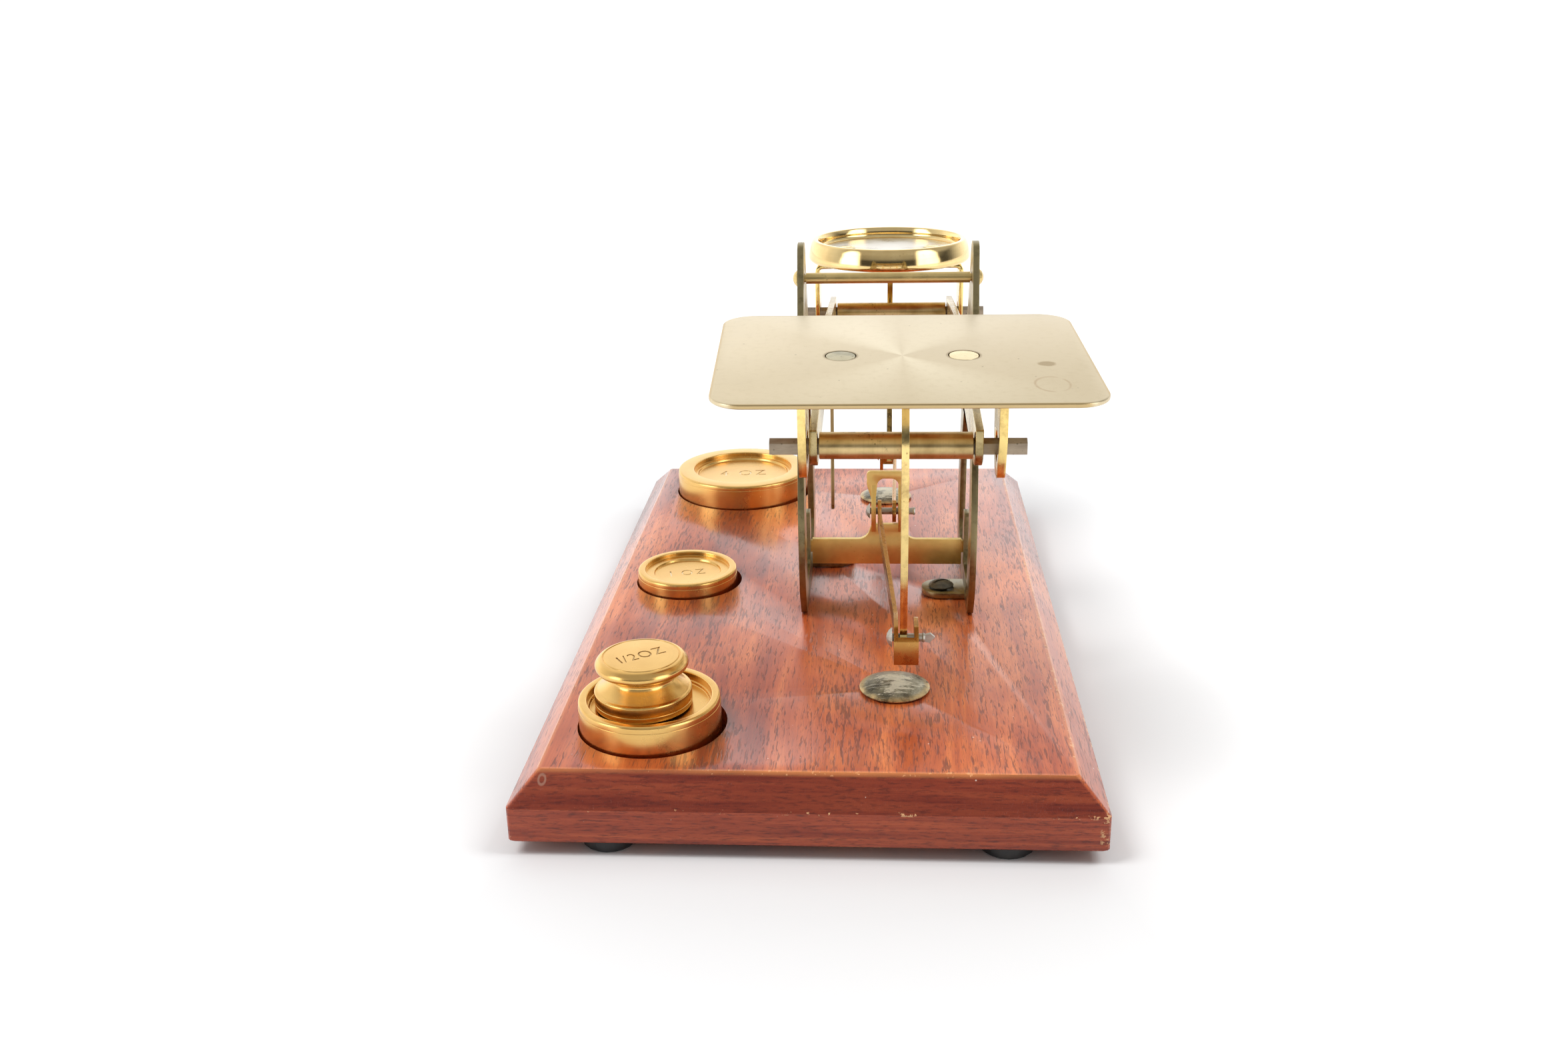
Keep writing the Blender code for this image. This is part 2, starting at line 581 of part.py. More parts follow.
def make_carrier(name, brass, parent, x, knife, width, sheet, top, tilt):
    """An inverted U of strip that rests on an end knife and holds a pan on its web."""
    half = (width - sheet) / 2
    foot = knife.z - 5.4 * MM
    path = bent([(x - half, foot - MM), (x - half, top - sheet / 2), (x + half, top - sheet / 2),
                 (x + half, foot - MM)], 1.5 * MM)
    strip = prism(ribbon(path, sheet), "Y", knife.y - CARRIER_DEPTH, knife.y + CARRIER_DEPTH)
    for vert in strip.verts:
        if vert.co.z > knife.z + 6 * MM:
            vert.co.z += (vert.co.y - knife.y) * math.tan(tilt)
    carrier = add(name, strip, brass, parent)

    deep = CARRIER_DEPTH / 2
    side = rounded([(knife.y - deep, top + 6 * MM, 0), (knife.y - deep, knife.z + 2 * MM, 6 * MM),
                    (knife.y - 3 * MM, foot, 2.4 * MM), (knife.y + 3 * MM, foot, 2.4 * MM),
                    (knife.y + deep, knife.z + 2 * MM, 6 * MM), (knife.y + deep, top + 6 * MM, 0)])
    seat = drop_hole(knife.y, knife.z + 0.2 * MM, 2.5 * MM, 3.6 * MM)
    trim = prism(side, "X", x - width, x + width, (seat,))
    combine(carrier, [add(name + "_trim", trim, brass, parent)], "INTERSECT")
    return carrier


def make_stem(name, brass, parent, x, knife, way, top):
    """The flat rod under a pan: it passes outside the spacer and ends at the stay's pin."""
    pin = knife + LINK
    line = [(-0.6, 0.0), (1.8, 4.0), (4.3, 9.0), (5.0, 14.5), (4.6, 24.0), (3.0, 36.0), (1.0, 45.5)]
    span = top - pin.z
    knots = [(pin.y + way * u * MM, top - v * MM) for u, v in line]
    knots.append((pin.y, pin.z))
    centre = curve_points(knots, 3)
    widths = [3.2, 3.0, 2.8]
    left = []
    right = []
    for i, p in enumerate(centre):
        run = (centre[min(i + 1, len(centre) - 1)] - centre[max(i - 1, 0)]).normalized()
        share = min(1.0, (top - p.y) / span)
        half = MM / 2 * (widths[0] + (widths[2] - widths[0]) * share)
        normal = Vector((-run.y, run.x))
        left.append(tuple(p + normal * half))
        right.append(tuple(p - normal * half))
    left[0] = (left[0][0], top)
    right[0] = (right[0][0], top)
    end = widths[2] / 2 * MM
    tip = [(pin.y - end * math.cos(math.pi * k / 6) * (1 if left[-1][0] < right[-1][0] else -1),
            pin.z - end * math.sin(math.pi * k / 6)) for k in range(1, 6)]
    outline = left + tip + right[::-1]
    rod_body = prism(outline, "X", x - STEM_SHEET / 2, x + STEM_SHEET / 2)
    stem = add(name, rod_body, brass, parent)
    boss = prism(circle(pin.y, pin.z, 2.2 * MM), "X", x - STEM_SHEET / 2 + 0.02 * MM,
                 x + STEM_SHEET / 2 - 0.02 * MM)
    eye = rod(PIN_RADIUS + 0.5 * MM, "X", (x, pin.y, pin.z), -3 * MM, 3 * MM)
    combine(stem, [add(name + "_boss", boss, brass, parent)], "UNION")
    combine(stem, [add(name + "_eye", eye, brass, parent)], "DIFFERENCE")


def make_letter_pan(pale_brass, brass, parent):
    width, length, sheet = LETTER_PLATE
    sheet_carrier = 1.4 * MM
    top = FRONT_KNIFE.z + 16.1 * MM
    web = top - sheet - GAP
    carrier_width = 35.8 * MM
    carrier = make_carrier("letter_carrier", brass, parent, LETTER_X, FRONT_KNIFE, carrier_width,
                           sheet_carrier, web, LETTER_TURN.x)
    make_stem("letter_stem", brass, parent, 16.8 * MM, FRONT_KNIFE, -1, web - sheet_carrier - 0.5 * MM)

    place = Matrix.Translation((LETTER_X, FRONT_KNIFE.y, top)) @ LETTER_TURN.to_matrix().to_4x4()
    x = width / 2
    y = length / 2
    corner = 5.5 * MM
    outline = rounded([(x, y, corner), (-x, y, corner), (-x, -y, corner), (x, -y, corner)])
    head = 2.55 * MM
    shank = 1.2 * MM
    half = RIVET_SPACING / 2
    holes = [circle(side * half, 0, head + GAP / 2, 24) for side in (1, -1)]
    plate = prism(outline, "Z", -sheet, 0, holes, bevel=0.12 * MM)
    bmesh.ops.transform(plate, matrix=place, verts=plate.verts)
    add("letter_plate", plate, pale_brass, parent)

    for name, side in (("letter_rivet_right", 1), ("letter_rivet_left", -1)):
        under = -sheet - sheet_carrier - 2 * GAP
        profile = dome(head, 0.08 * MM, -0.02 * MM, 2)[::-1]
        profile += [(head, -0.7 * MM), (shank, -0.9 * MM), (shank, under - 0.25 * MM),
                    (2.0 * MM, under - 0.25 * MM)]
        profile += [(r, -z) for r, z in dome(2.0 * MM, 0.8 * MM, -under + 0.25 * MM)[1:]]
        rivet = turned(profile, "Z", (side * half, 0, 0), 24)
        bmesh.ops.transform(rivet, matrix=place, verts=rivet.verts)
        add(name, rivet, brass, parent)
        hole = rod(shank + GAP, "Z", (side * half, 0, 0), -4 * MM, 2 * MM)
        bmesh.ops.transform(hole, matrix=place, verts=hole.verts)
        combine(carrier, [add(name + "_hole", hole, brass, parent)], "DIFFERENCE")


def make_weight_pan(brass, parent):
    sheet = 1.0 * MM
    web = WEIGHT_PAN_BOTTOM - GAP
    carrier = make_carrier("weight_carrier", brass, parent, WEIGHT_PAN_X, REAR_KNIFE, 36.0 * MM, sheet,
                           web, 0.0)
    make_stem("weight_stem", brass, parent, 14.9 * MM, REAR_KNIFE, 1, web - sheet - GAP)

    floor = 2.7 * MM
    dish = [(0, 1.63), (13.4, 1.63), (14.0, 0), (19.1, 0), (19.7, 0.5), (19.8, 1.2), (19.0, 4.6),
            (18.5, 5.2), (17.6, 5.2), (17.2, 4.8), (17.1, 3.3), (16.6, 2.7), (0, 2.7)]
    dish = [(r * MM, z * MM) for r, z in dish]
    centre = Vector((WEIGHT_PAN_X, REAR_KNIFE.y, WEIGHT_PAN_BOTTOM))
    pan = add("weight_pan", turned(dish, "Z", centre), brass, parent)

    shank = 1.2 * MM
    under = -sheet - 2 * GAP
    profile = [(r, z) for r, z in dome(2.2 * MM, 0.3 * MM, floor + GAP)[::-1]]
    profile += [(shank, floor + GAP), (shank, under), (2.0 * MM, under)]
    profile += [(r, -z) for r, z in dome(2.0 * MM, 0.7 * MM, -under)[1:]]
    for name, side in (("weight_rivet_right", 1), ("weight_rivet_left", -1)):
        place = centre + Vector((side * RIVET_SPACING / 2, 0, 0))
        add(name, turned(profile, "Z", place, SMALL_STEPS), brass, parent)
        hole = add(name + "_hole", rod(shank + GAP, "Z", place, -4 * MM, 6 * MM), brass, parent)
        combine(carrier, [hole], "DIFFERENCE")
        combine(pan, [hole], "DIFFERENCE")


# The stays.

def make_stay(name, brass, steel, parent, way, pivot_x, fork_near, fork_far):
    """A strip from the centre pin to a boxed fork round a stem's lower end.

    way is -1 for the front stay and 1 for the rear one. fork_near is the X of the fork's cheek
    that continues the strip, and fork_far is the X of its other cheek.
    """
    drop = Vector((0, way * ARM_LENGTH, -ARM_DROP))
    pin = STAY_PIVOT + drop

    def along(distance):
        return STAY_PIVOT.y + way * distance * MM

    path = [(pivot_x, along(-3.5)), (pivot_x, along(5)), (fork_near, along(52)), (fork_near, along(60.6)),
            (fork_far, along(60.6)), (fork_far, along(53.8))]
    plan = prism(ribbon(path, STAY_SHEET), "Z", pin.z - 12 * MM, STAY_PIVOT.z + 12 * MM)
    stay = add(name, plan, brass, parent)

    slope = -ARM_DROP / (ARM_LENGTH / MM)
    half = 1.9 * MM

    def level(distance, offset):
        return STAY_PIVOT.z + slope * distance + offset

    top = [(along(3.4), level(3.4, half), 2 * MM), (along(51), level(51, half), 1 * MM),
           (along(54.4), pin.z + 2.6 * MM, 1.2 * MM), (along(58.2), pin.z + 2.6 * MM, 1.6 * MM),
           (along(61.4), pin.z + 0.4 * MM, 0.3 * MM)]
    bottom = [(along(61.4), pin.z - 3.9 * MM, 0), (along(53.0), pin.z - 3.9 * MM, 1.5 * MM),
              (along(50.0), level(50, -half), 2 * MM), (along(3.4), level(3.4, -half), 2 * MM)]
    eye = 2.5 * MM
    start = [(STAY_PIVOT.y - way * eye * math.cos(a), STAY_PIVOT.z - eye * math.sin(a), 0)
             for a in [math.radians(d) for d in range(120, -121, -20)]]
    side = rounded(top + bottom + start)
    holes = (circle(STAY_PIVOT.y, STAY_PIVOT.z, PIN_RADIUS + GAP), circle(pin.y, pin.z, PIN_RADIUS + GAP))
    trim = prism(side, "X", 0, 30 * MM, holes)
    combine(stay, [add(name + "_trim", trim, brass, parent)], "INTERSECT")

    left = min(fork_near, fork_far) - STAY_SHEET / 2 - GAP
    right = max(fork_near, fork_far) + STAY_SHEET / 2
    shaft = pin_profile(1.9 * MM, 1.1 * MM, left - pin.x, right + 1.2 * MM - pin.x)
    body = add(name + "_pin", turned(shaft, "X", pin, SMALL_STEPS), steel, parent)
    tail = [(right + 0.9 * MM, pin.z - 0.7 * MM), (right + 2.0 * MM, pin.z - 0.9 * MM),
            (right + 3.0 * MM, pin.z + 0.2 * MM), (right + 2.2 * MM, pin.z + 0.9 * MM),
            (right + 0.9 * MM, pin.z + 0.5 * MM)]
    flat = prism(tail, "Y", pin.y - 0.35 * MM, pin.y + 0.35 * MM)
    combine(body, [add(name + "_pin_tail", flat, steel, parent)], "UNION")


def build():
    clear_scene()
    wood = finish("mahogany", (0.36, 0.08, 0.03), 0.25, 0.0)
    rubber = finish("black_rubber", (0.02, 0.02, 0.02), 0.7, 0.0)
    brass = finish("brass", (0.72, 0.49, 0.18), 0.25, 1.0)
    pale_brass = finish("pale_brass", (0.74, 0.62, 0.38), 0.35, 1.0)
    dull_brass = finish("dull_brass", (0.36, 0.30, 0.17), 0.45, 1.0)
    steel = finish("dull_steel", (0.42, 0.38, 0.33), 0.45, 1.0)
    silver = finish("tarnished_plate", (0.45, 0.42, 0.33), 0.4, 1.0)

    make_base(wood)
    make_feet(rubber)
    make_stop_discs(silver)
    make_weights(brass)
    make_side_plates(dull_brass)
    make_tie_bar(brass)
    make_frame_screws(steel)
    make_stay_bracket(brass)
    make_stay_pivot_pin(steel)

    beam = pivot("beam_axis", FULCRUM)
    make_beam(brass, dull_brass, steel, beam)
    make_letter_pan(pale_brass, brass, pivot("letter_pan_axis", FRONT_KNIFE))
    make_weight_pan(brass, pivot("weight_pan_axis", REAR_KNIFE))
    front = pivot("front_stay_axis", STAY_PIVOT)
    rear = pivot("rear_stay_axis", STAY_PIVOT)
    make_stay("front_stay", brass, steel, front, -1, 12.4 * MM, 15.45 * MM, 19.15 * MM)
    make_stay("rear_stay", brass, steel, rear, 1, 15.6 * MM, 16.3 * MM, 12.9 * MM)


build()
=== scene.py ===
"""Looks of a brass postal balance on a mahogany base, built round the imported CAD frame."""

import json
import math

import bmesh
import bpy
from mathutils import Euler, Matrix, Vector

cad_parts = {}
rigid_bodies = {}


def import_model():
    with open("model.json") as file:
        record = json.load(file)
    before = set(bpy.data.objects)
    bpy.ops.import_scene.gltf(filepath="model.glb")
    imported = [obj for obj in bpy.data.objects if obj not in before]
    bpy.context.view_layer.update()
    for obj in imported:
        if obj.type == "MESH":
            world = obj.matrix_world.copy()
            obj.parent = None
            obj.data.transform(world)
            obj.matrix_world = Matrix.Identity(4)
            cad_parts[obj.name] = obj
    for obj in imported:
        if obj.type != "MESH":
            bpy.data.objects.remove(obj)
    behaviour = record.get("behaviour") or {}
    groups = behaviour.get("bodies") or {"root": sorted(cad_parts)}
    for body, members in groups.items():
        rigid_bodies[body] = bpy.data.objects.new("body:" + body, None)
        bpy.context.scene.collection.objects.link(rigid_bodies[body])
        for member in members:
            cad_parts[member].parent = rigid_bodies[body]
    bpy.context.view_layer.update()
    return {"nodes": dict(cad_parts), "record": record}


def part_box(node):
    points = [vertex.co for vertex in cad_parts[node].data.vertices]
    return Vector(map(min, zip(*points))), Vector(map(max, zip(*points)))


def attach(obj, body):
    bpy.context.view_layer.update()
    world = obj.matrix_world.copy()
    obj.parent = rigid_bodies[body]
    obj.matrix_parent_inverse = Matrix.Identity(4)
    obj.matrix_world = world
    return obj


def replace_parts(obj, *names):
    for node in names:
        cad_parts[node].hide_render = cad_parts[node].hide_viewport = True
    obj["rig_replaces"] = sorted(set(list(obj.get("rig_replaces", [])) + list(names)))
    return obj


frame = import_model()
nodes = frame["nodes"]
node_body = {n: b for b, names in frame["record"]["behaviour"]["bodies"].items() for n in names}

MM = 0.001
BASE_HALF_WIDTH, BASE_HALF_LENGTH, BASE_TOP = 50.8 * MM, 88.9 * MM, 14.15 * MM
CHAMFER_WIDTH, CHAMFER_FOOT = 4.95 * MM, 9.0 * MM   # its width in plan, and the height it starts from
PLATE_HALF_WIDTH, PLATE_HALF_DEPTH = 31.9 * MM, 24.9 * MM
PLATE_TILT = (4.4, 0.5, 2.35)       # degrees about X, Y and Z
RIVET_OFFSET = 10.55 * MM           # from the letter plate's middle to each of its rivets, along X
KNOB_TOP = 9.3                      # of the half-ounce weight, above its foot, in millimetres
PAN_FLOOR = 2.7                     # above the pan's underside, in millimetres
ENGRAVING_DEPTH = 0.14 * MM
LETTER_NARROWING = 0.82
SMOOTH_ANGLE = math.radians(32)
WHITE = (1.0, 1.0, 1.0, 1.0)
LIT_POINT = Vector((0, 0, 0.03))
CAMERA_PLACE = (0.01232, -0.29906, 0.13671)
CAMERA_TURN = (-4.0, 19.838, 1.219)     # yaw, pitch and roll, in degrees
CAMERA_LENS = 33.22                 # millimetres, on a sensor 36 wide


# Materials.

class Nodes:
    """Short calls for the nodes of a tree. place names the coordinates that they start from."""

    def __init__(self, tree, place):
        self.tree = tree
        self.coordinates = tree.nodes.new("ShaderNodeTexCoord").outputs
        self.place = self.coordinates[place]

    def node(self, kind, inputs=None, **fields):
        """A node with its inputs set, or linked where they are given as sockets."""
        made = self.tree.nodes.new(kind)
        for name, value in fields.items():
            setattr(made, name, value)
        for name, value in (inputs or {}).items():
            if isinstance(value, bpy.types.NodeSocket):
                self.tree.links.new(value, made.inputs[name])
            else:
                made.inputs[name].default_value = value
        return made

    def stretch(self, x, y, z, turn=(0, 0, 0), source=None):
        """The coordinates scaled by x, y, z."""
        return self.node("ShaderNodeMapping", {"Vector": source or self.place, "Scale": (x, y, z),
                                               "Rotation": turn}).outputs[0]

    def noise(self, scale, detail=3.0, rough=0.55, place=None, warp=0.0):
        return self.node("ShaderNodeTexNoise", {
            "Vector": place or self.place, "Scale": scale, "Detail": detail, "Roughness": rough,
            "Distortion": warp}).outputs["Fac"]

    def spots(self, scale):
        """Distance from the nearest of some scattered points, in cells of the given scale."""
        return self.node("ShaderNodeTexVoronoi", {"Vector": self.place, "Scale": scale}).outputs["Distance"]

    def math(self, operation, a, b=0.0, c=0.0):
        return self.node("ShaderNodeMath", {0: a, 1: b, 2: c}, operation=operation).outputs[0]

    def span(self, value, low, high, out_low=0.0, out_high=1.0, curve="LINEAR"):
        """A value mapped from low..high to out_low..out_high, and held there."""
        return self.node("ShaderNodeMapRange", {
            "Value": value, "From Min": low, "From Max": high, "To Min": out_low, "To Max": out_high},
            clamp=True, interpolation_type=curve).outputs["Result"]

    def ramp(self, value, stops):
        """A colour from (position, colour) stops."""
        made = self.node("ShaderNodeValToRGB", {"Fac": value})
        band = made.color_ramp
        while len(band.elements) < len(stops):
            band.elements.new(0.5)
        for element, (at, colour) in zip(band.elements, stops):
            element.position = at
            element.color = (*colour, 1.0)
        return made.outputs["Color"]

    def mix(self, share, a, b):
        """Colour a, with the given share of colour b."""
        made = self.node("ShaderNodeMix", data_type="RGBA")
        for name, value in (("Factor", share), ("A", a), ("B", b)):
            socket = [s for s in made.inputs if s.name == name and s.enabled][0]
            if isinstance(value, bpy.types.NodeSocket):
                self.tree.links.new(value, socket)
            else:
                socket.default_value = value if name == "Factor" else (*value, 1.0)
        return [s for s in made.outputs if s.enabled][0]

    def axis(self, index, source=None):
        """One coordinate: 0 for X, 1 for Y, 2 for Z."""
        return self.node("ShaderNodeSeparateXYZ", {0: source or self.place}).outputs[index]

    def length(self, vector):
        return self.node("ShaderNodeVectorMath", {0: vector}, operation="LENGTH").outputs["Value"]

    def plan_length(self, x, y):
        """How far the point x, y is from the origin."""
        return self.length(self.node("ShaderNodeCombineXYZ", {"X": x, "Y": y}).outputs[0])

    def bump(self, height, depth, strength=1.0, under=None):
        """Relief: height runs 0 to 1 over depth metres."""
        inputs = {"Height": height, "Distance": depth, "Strength": strength}
        if under is not None:
            inputs["Normal"] = under
        return self.node("ShaderNodeBump", inputs).outputs[0]


class Look(Nodes):
    """A material and its nodes. Coordinates are the object's own, in metres."""

    def __init__(self, name, metallic=0.0, roughness=0.5):
        self.material = bpy.data.materials.new(name)
        self.material.use_nodes = True
        super().__init__(self.material.node_tree, "Object")
        self.normal = self.coordinates["Normal"]
        self.shader = self.tree.nodes["Principled BSDF"]
        self.set(Metallic=metallic, Roughness=roughness)

    def set(self, **values):
        """Give the shader values that are the same all over."""
        for name, value in values.items():
            self.shader.inputs[name.replace("_", " ")].default_value = value
        return self

    def wire(self, **sockets):
        """Link the shader's inputs, and give the finished material."""
        for name, socket in sockets.items():
            self.tree.links.new(socket, self.shader.inputs[name.replace("_", " ")])
        return self.material


def long_grain(look):
    """Colour, fibre and pores of mahogany cut along its length."""
    figure = look.noise(1.0, 4, 0.6, look.stretch(130, 12, 130), 0.7)
    ribbon = look.noise(1.0, 3, 0.5, look.stretch(38, 26, 38), 0.4)
    tone = look.math("ADD", look.math("MULTIPLY", figure, 0.55), look.math("MULTIPLY", ribbon, 0.45))
    colour = look.ramp(tone, [
        (0.38, (0.21, 0.026, 0.008)), (0.45, (0.36, 0.060, 0.013)), (0.52, (0.49, 0.100, 0.022)),
        (0.60, (0.65, 0.168, 0.037))])
    fibre = look.noise(1.0, 5, 0.72, look.stretch(2100, 42, 2100), 0.15)
    colour = look.mix(look.span(fibre, 0.42, 0.72, 0.0, 0.42), colour, (0.24, 0.036, 0.010))

    # Pores of two sizes crowd together in zones.
    zone = look.noise(1.0, 3, 0.5, look.stretch(75, 20, 75))
    wide = look.noise(1.0, 2, 0.55, look.stretch(2300, 250, 2300), 0.3)
    pore = look.span(look.math("ADD", wide, look.math("MULTIPLY", zone, 0.34)), 0.725, 0.80)
    fine = look.noise(1.0, 2, 0.5, look.stretch(4200, 420, 4200), 0.2)
    fine = look.span(look.math("ADD", fine, look.math("MULTIPLY", zone, 0.24)), 0.66, 0.77)
    colour = look.mix(look.math("MULTIPLY", fine, 0.42), colour, (0.15, 0.030, 0.014))
    colour = look.mix(look.math("MULTIPLY", pore, 0.62), colour, (0.085, 0.022, 0.017))
    return colour, fibre, pore


def end_grain(look, facing):
    """Colour of mahogany cut across, darkest on the end chamfers, which face partly upwards."""
    rings = look.noise(1.0, 4, 0.62, look.stretch(30, 30, 1000), 0.4)
    colour = look.ramp(rings, [(0.34, (0.22, 0.026, 0.008)), (0.5, (0.34, 0.052, 0.017)),
                               (0.66, (0.44, 0.082, 0.026))])
    cloud = look.noise(55.0, 3)
    colour = look.mix(look.span(cloud, 0.45, 0.7, 0, 0.5), colour, (0.36, 0.062, 0.018))
    dots = look.noise(1.0, 3, 0.65, look.stretch(420, 1100, 3200), 0.2)
    colour = look.mix(look.span(dots, 0.50, 0.66, 0, 0.6), colour, (0.045, 0.006, 0.004))
    slope = look.math("MULTIPLY", facing, look.math("GREATER_THAN", look.axis(2, look.normal), 0.3))
    return look.mix(look.math("MULTIPLY", slope, 0.80), colour, (0.050, 0.002, 0.001))


def worn_edges(look):
    """Shares of bare wood in chips along the base's edges, and of thin varnish along its top edge."""
    x = look.math("ABSOLUTE", look.axis(0))
    y = look.math("ABSOLUTE", look.axis(1))
    z = look.axis(2)
    inset = look.math("MAXIMUM", look.math("SUBTRACT", x, BASE_HALF_WIDTH),
                      look.math("SUBTRACT", y, BASE_HALF_LENGTH))
    from_top_edge = look.math("ABSOLUTE", look.math("ADD", inset, CHAMFER_WIDTH))
    top_edge = look.math("MULTIPLY", look.span(from_top_edge, 0.0, 0.7 * MM, 1, 0),
                         look.span(z, 13.3 * MM, 13.7 * MM))
    from_low_edge = look.math("ABSOLUTE", look.math("SUBTRACT", z, CHAMFER_FOOT))
    low_edge = look.span(from_low_edge, 0.0, 0.45 * MM, 1, 0)
    bottom_edge = look.span(z, 2.5 * MM, 3.0 * MM, 1, 0)
    corner = look.span(look.math("ADD", x, y), 137.6 * MM, 138.6 * MM)
    edges = look.math("MAXIMUM", look.math("MAXIMUM", top_edge, low_edge),
                      look.math("MAXIMUM", bottom_edge, corner))
    chips = look.noise(700.0, 3, 0.7)
    patches = look.noise(42.0, 2, 0.5)
    right_side = look.span(look.axis(0), 44.5 * MM, 45.6 * MM, 0.0, 0.085)
    chance = look.math("ADD", look.math("ADD", chips, right_side),
                       look.math("MULTIPLY", look.span(patches, 0.45, 0.7), 0.10))
    bare = look.math("MULTIPLY", look.span(edges, 0.15, 0.6), look.span(chance, 0.665, 0.70))
    thin = look.math("MULTIPLY", top_edge, look.span(patches, 0.35, 0.65, 0.35, 0.9))
    return bare, thin


def mahogany():
    """Varnished mahogany: long grain along Y, end grain on the faces that look along it."""
    look = Look("mahogany").set(Coat_Roughness=0.16, Coat_IOR=1.5, Specular_IOR_Level=0.2)
    along, fibre, pore = long_grain(look)
    facing = look.math("ABSOLUTE", look.axis(1, look.normal))
    on_end = look.span(facing, 0.45, 0.62)
    colour = look.mix(on_end, along, end_grain(look, facing))
    bare, thin = worn_edges(look)
    colour = look.mix(look.math("MULTIPLY", bare, 0.85), colour, (0.66, 0.37, 0.18))
    colour = look.mix(look.math("MULTIPLY", thin, 0.75), colour, (0.72, 0.27, 0.085))

    # Pale specks of dust of mixed sizes.
    size = look.math("MULTIPLY", look.noise(300.0, 1), 0.12)
    speck = look.span(look.math("ADD", look.spots(300.0), size), 0.090, 0.105, 1, 0)
    speck = look.math("MULTIPLY", speck, look.span(look.noise(30.0, 2), 0.42, 0.58))
    colour = look.mix(look.math("MULTIPLY", speck, 0.6), colour, (0.80, 0.68, 0.58))

    # A nail's small ring on the corner of the front chamfer.
    nail_x, nail_y = -44.9 * MM, -85.3 * MM
    nail = look.plan_length(look.math("SUBTRACT", look.axis(0), nail_x),
                            look.math("SUBTRACT", look.axis(1), nail_y))
    nail = look.math("ABSOLUTE", look.math("SUBTRACT", nail, 0.6 * MM))
    colour = look.mix(look.span(nail, 0.08 * MM, 0.25 * MM, 0.5, 0), colour, (0.34, 0.20, 0.14))

    smear = look.noise(55.0, 3, 0.6)
    roughness = look.math("ADD", look.span(smear, 0.3, 0.7, 0.34, 0.48),
                          look.math("MULTIPLY", look.math("MAXIMUM", bare, pore), 0.2))
    relief = look.bump(look.math("SUBTRACT", fibre, pore), 0.03 * MM, 0.5)
    ripple = look.bump(look.noise(1.0, 2, 0.5, look.stretch(260, 90, 260)), 0.03 * MM, 0.5, relief)
    return look.wire(Base_Color=colour, Roughness=roughness, Normal=ripple, Coat_Normal=ripple,
                     Coat_Weight=look.span(on_end, 0.0, 1.0, 0.85, 0.55))


def worn_brass(name, light, dark, grime, roughness=(0.16, 0.34), grime_share=0.5, marks=None,
               contrast=1.0):
    """Brass with patchy tarnish, fine scratches and speckles.

    marks is the scale of its turning marks, to the metre. Without it the piece is scratched instead."""
    look = Look(name, metallic=1.0)
    patch = look.noise(230.0, 4, 0.6)
    cloud = look.noise(60.0, 3, 0.55)
    tone = look.math("ADD", look.math("MULTIPLY", patch, 0.4), look.math("MULTIPLY", cloud, 0.6))
    colour = look.ramp(tone, [(0.5 - 0.20 / contrast, dark), (0.5 + 0.06 / contrast, light),
                              (0.5 + 0.20 / contrast, light)])
    stain = look.noise(700.0, 4, 0.7)
    stained = look.span(look.math("ADD", stain, look.math("MULTIPLY", cloud, 0.35)), 0.80, 0.92)
    colour = look.mix(look.math("MULTIPLY", stained, grime_share), colour, grime)
    specks = look.span(look.spots(760.0), 0.10, 0.16, 1, 0)
    specks = look.math("MULTIPLY", specks, look.span(look.noise(90.0, 2), 0.52, 0.62))
    colour = look.mix(look.math("MULTIPLY", specks, grime_share), colour, grime)
    rough = look.math("ADD", look.span(patch, 0.3, 0.7, *roughness),
                      look.math("MULTIPLY", look.math("MAXIMUM", stained, specks), 0.2 * grime_share))
    if marks:
        radius = look.plan_length(look.axis(0), look.axis(1))
        profile = look.node("ShaderNodeCombineXYZ", {"X": radius, "Z": look.axis(2)}).outputs[0]
        rings = look.noise(1.0, 3, 0.7, look.stretch(marks, marks, marks, source=profile))
        colour = look.mix(look.span(rings, 0.5, 0.8, 0.0, 0.3), colour, dark)
        relief = look.bump(rings, 0.0025 * MM, 0.6)
    else:
        scratch = look.noise(1.0, 2, 0.5, look.stretch(2600, 900, 2600, (0.3, 0.2, 0.7)))
        relief = look.bump(scratch, 0.004 * MM, 0.7)
    return look.wire(Base_Color=colour, Roughness=rough, Normal=relief)


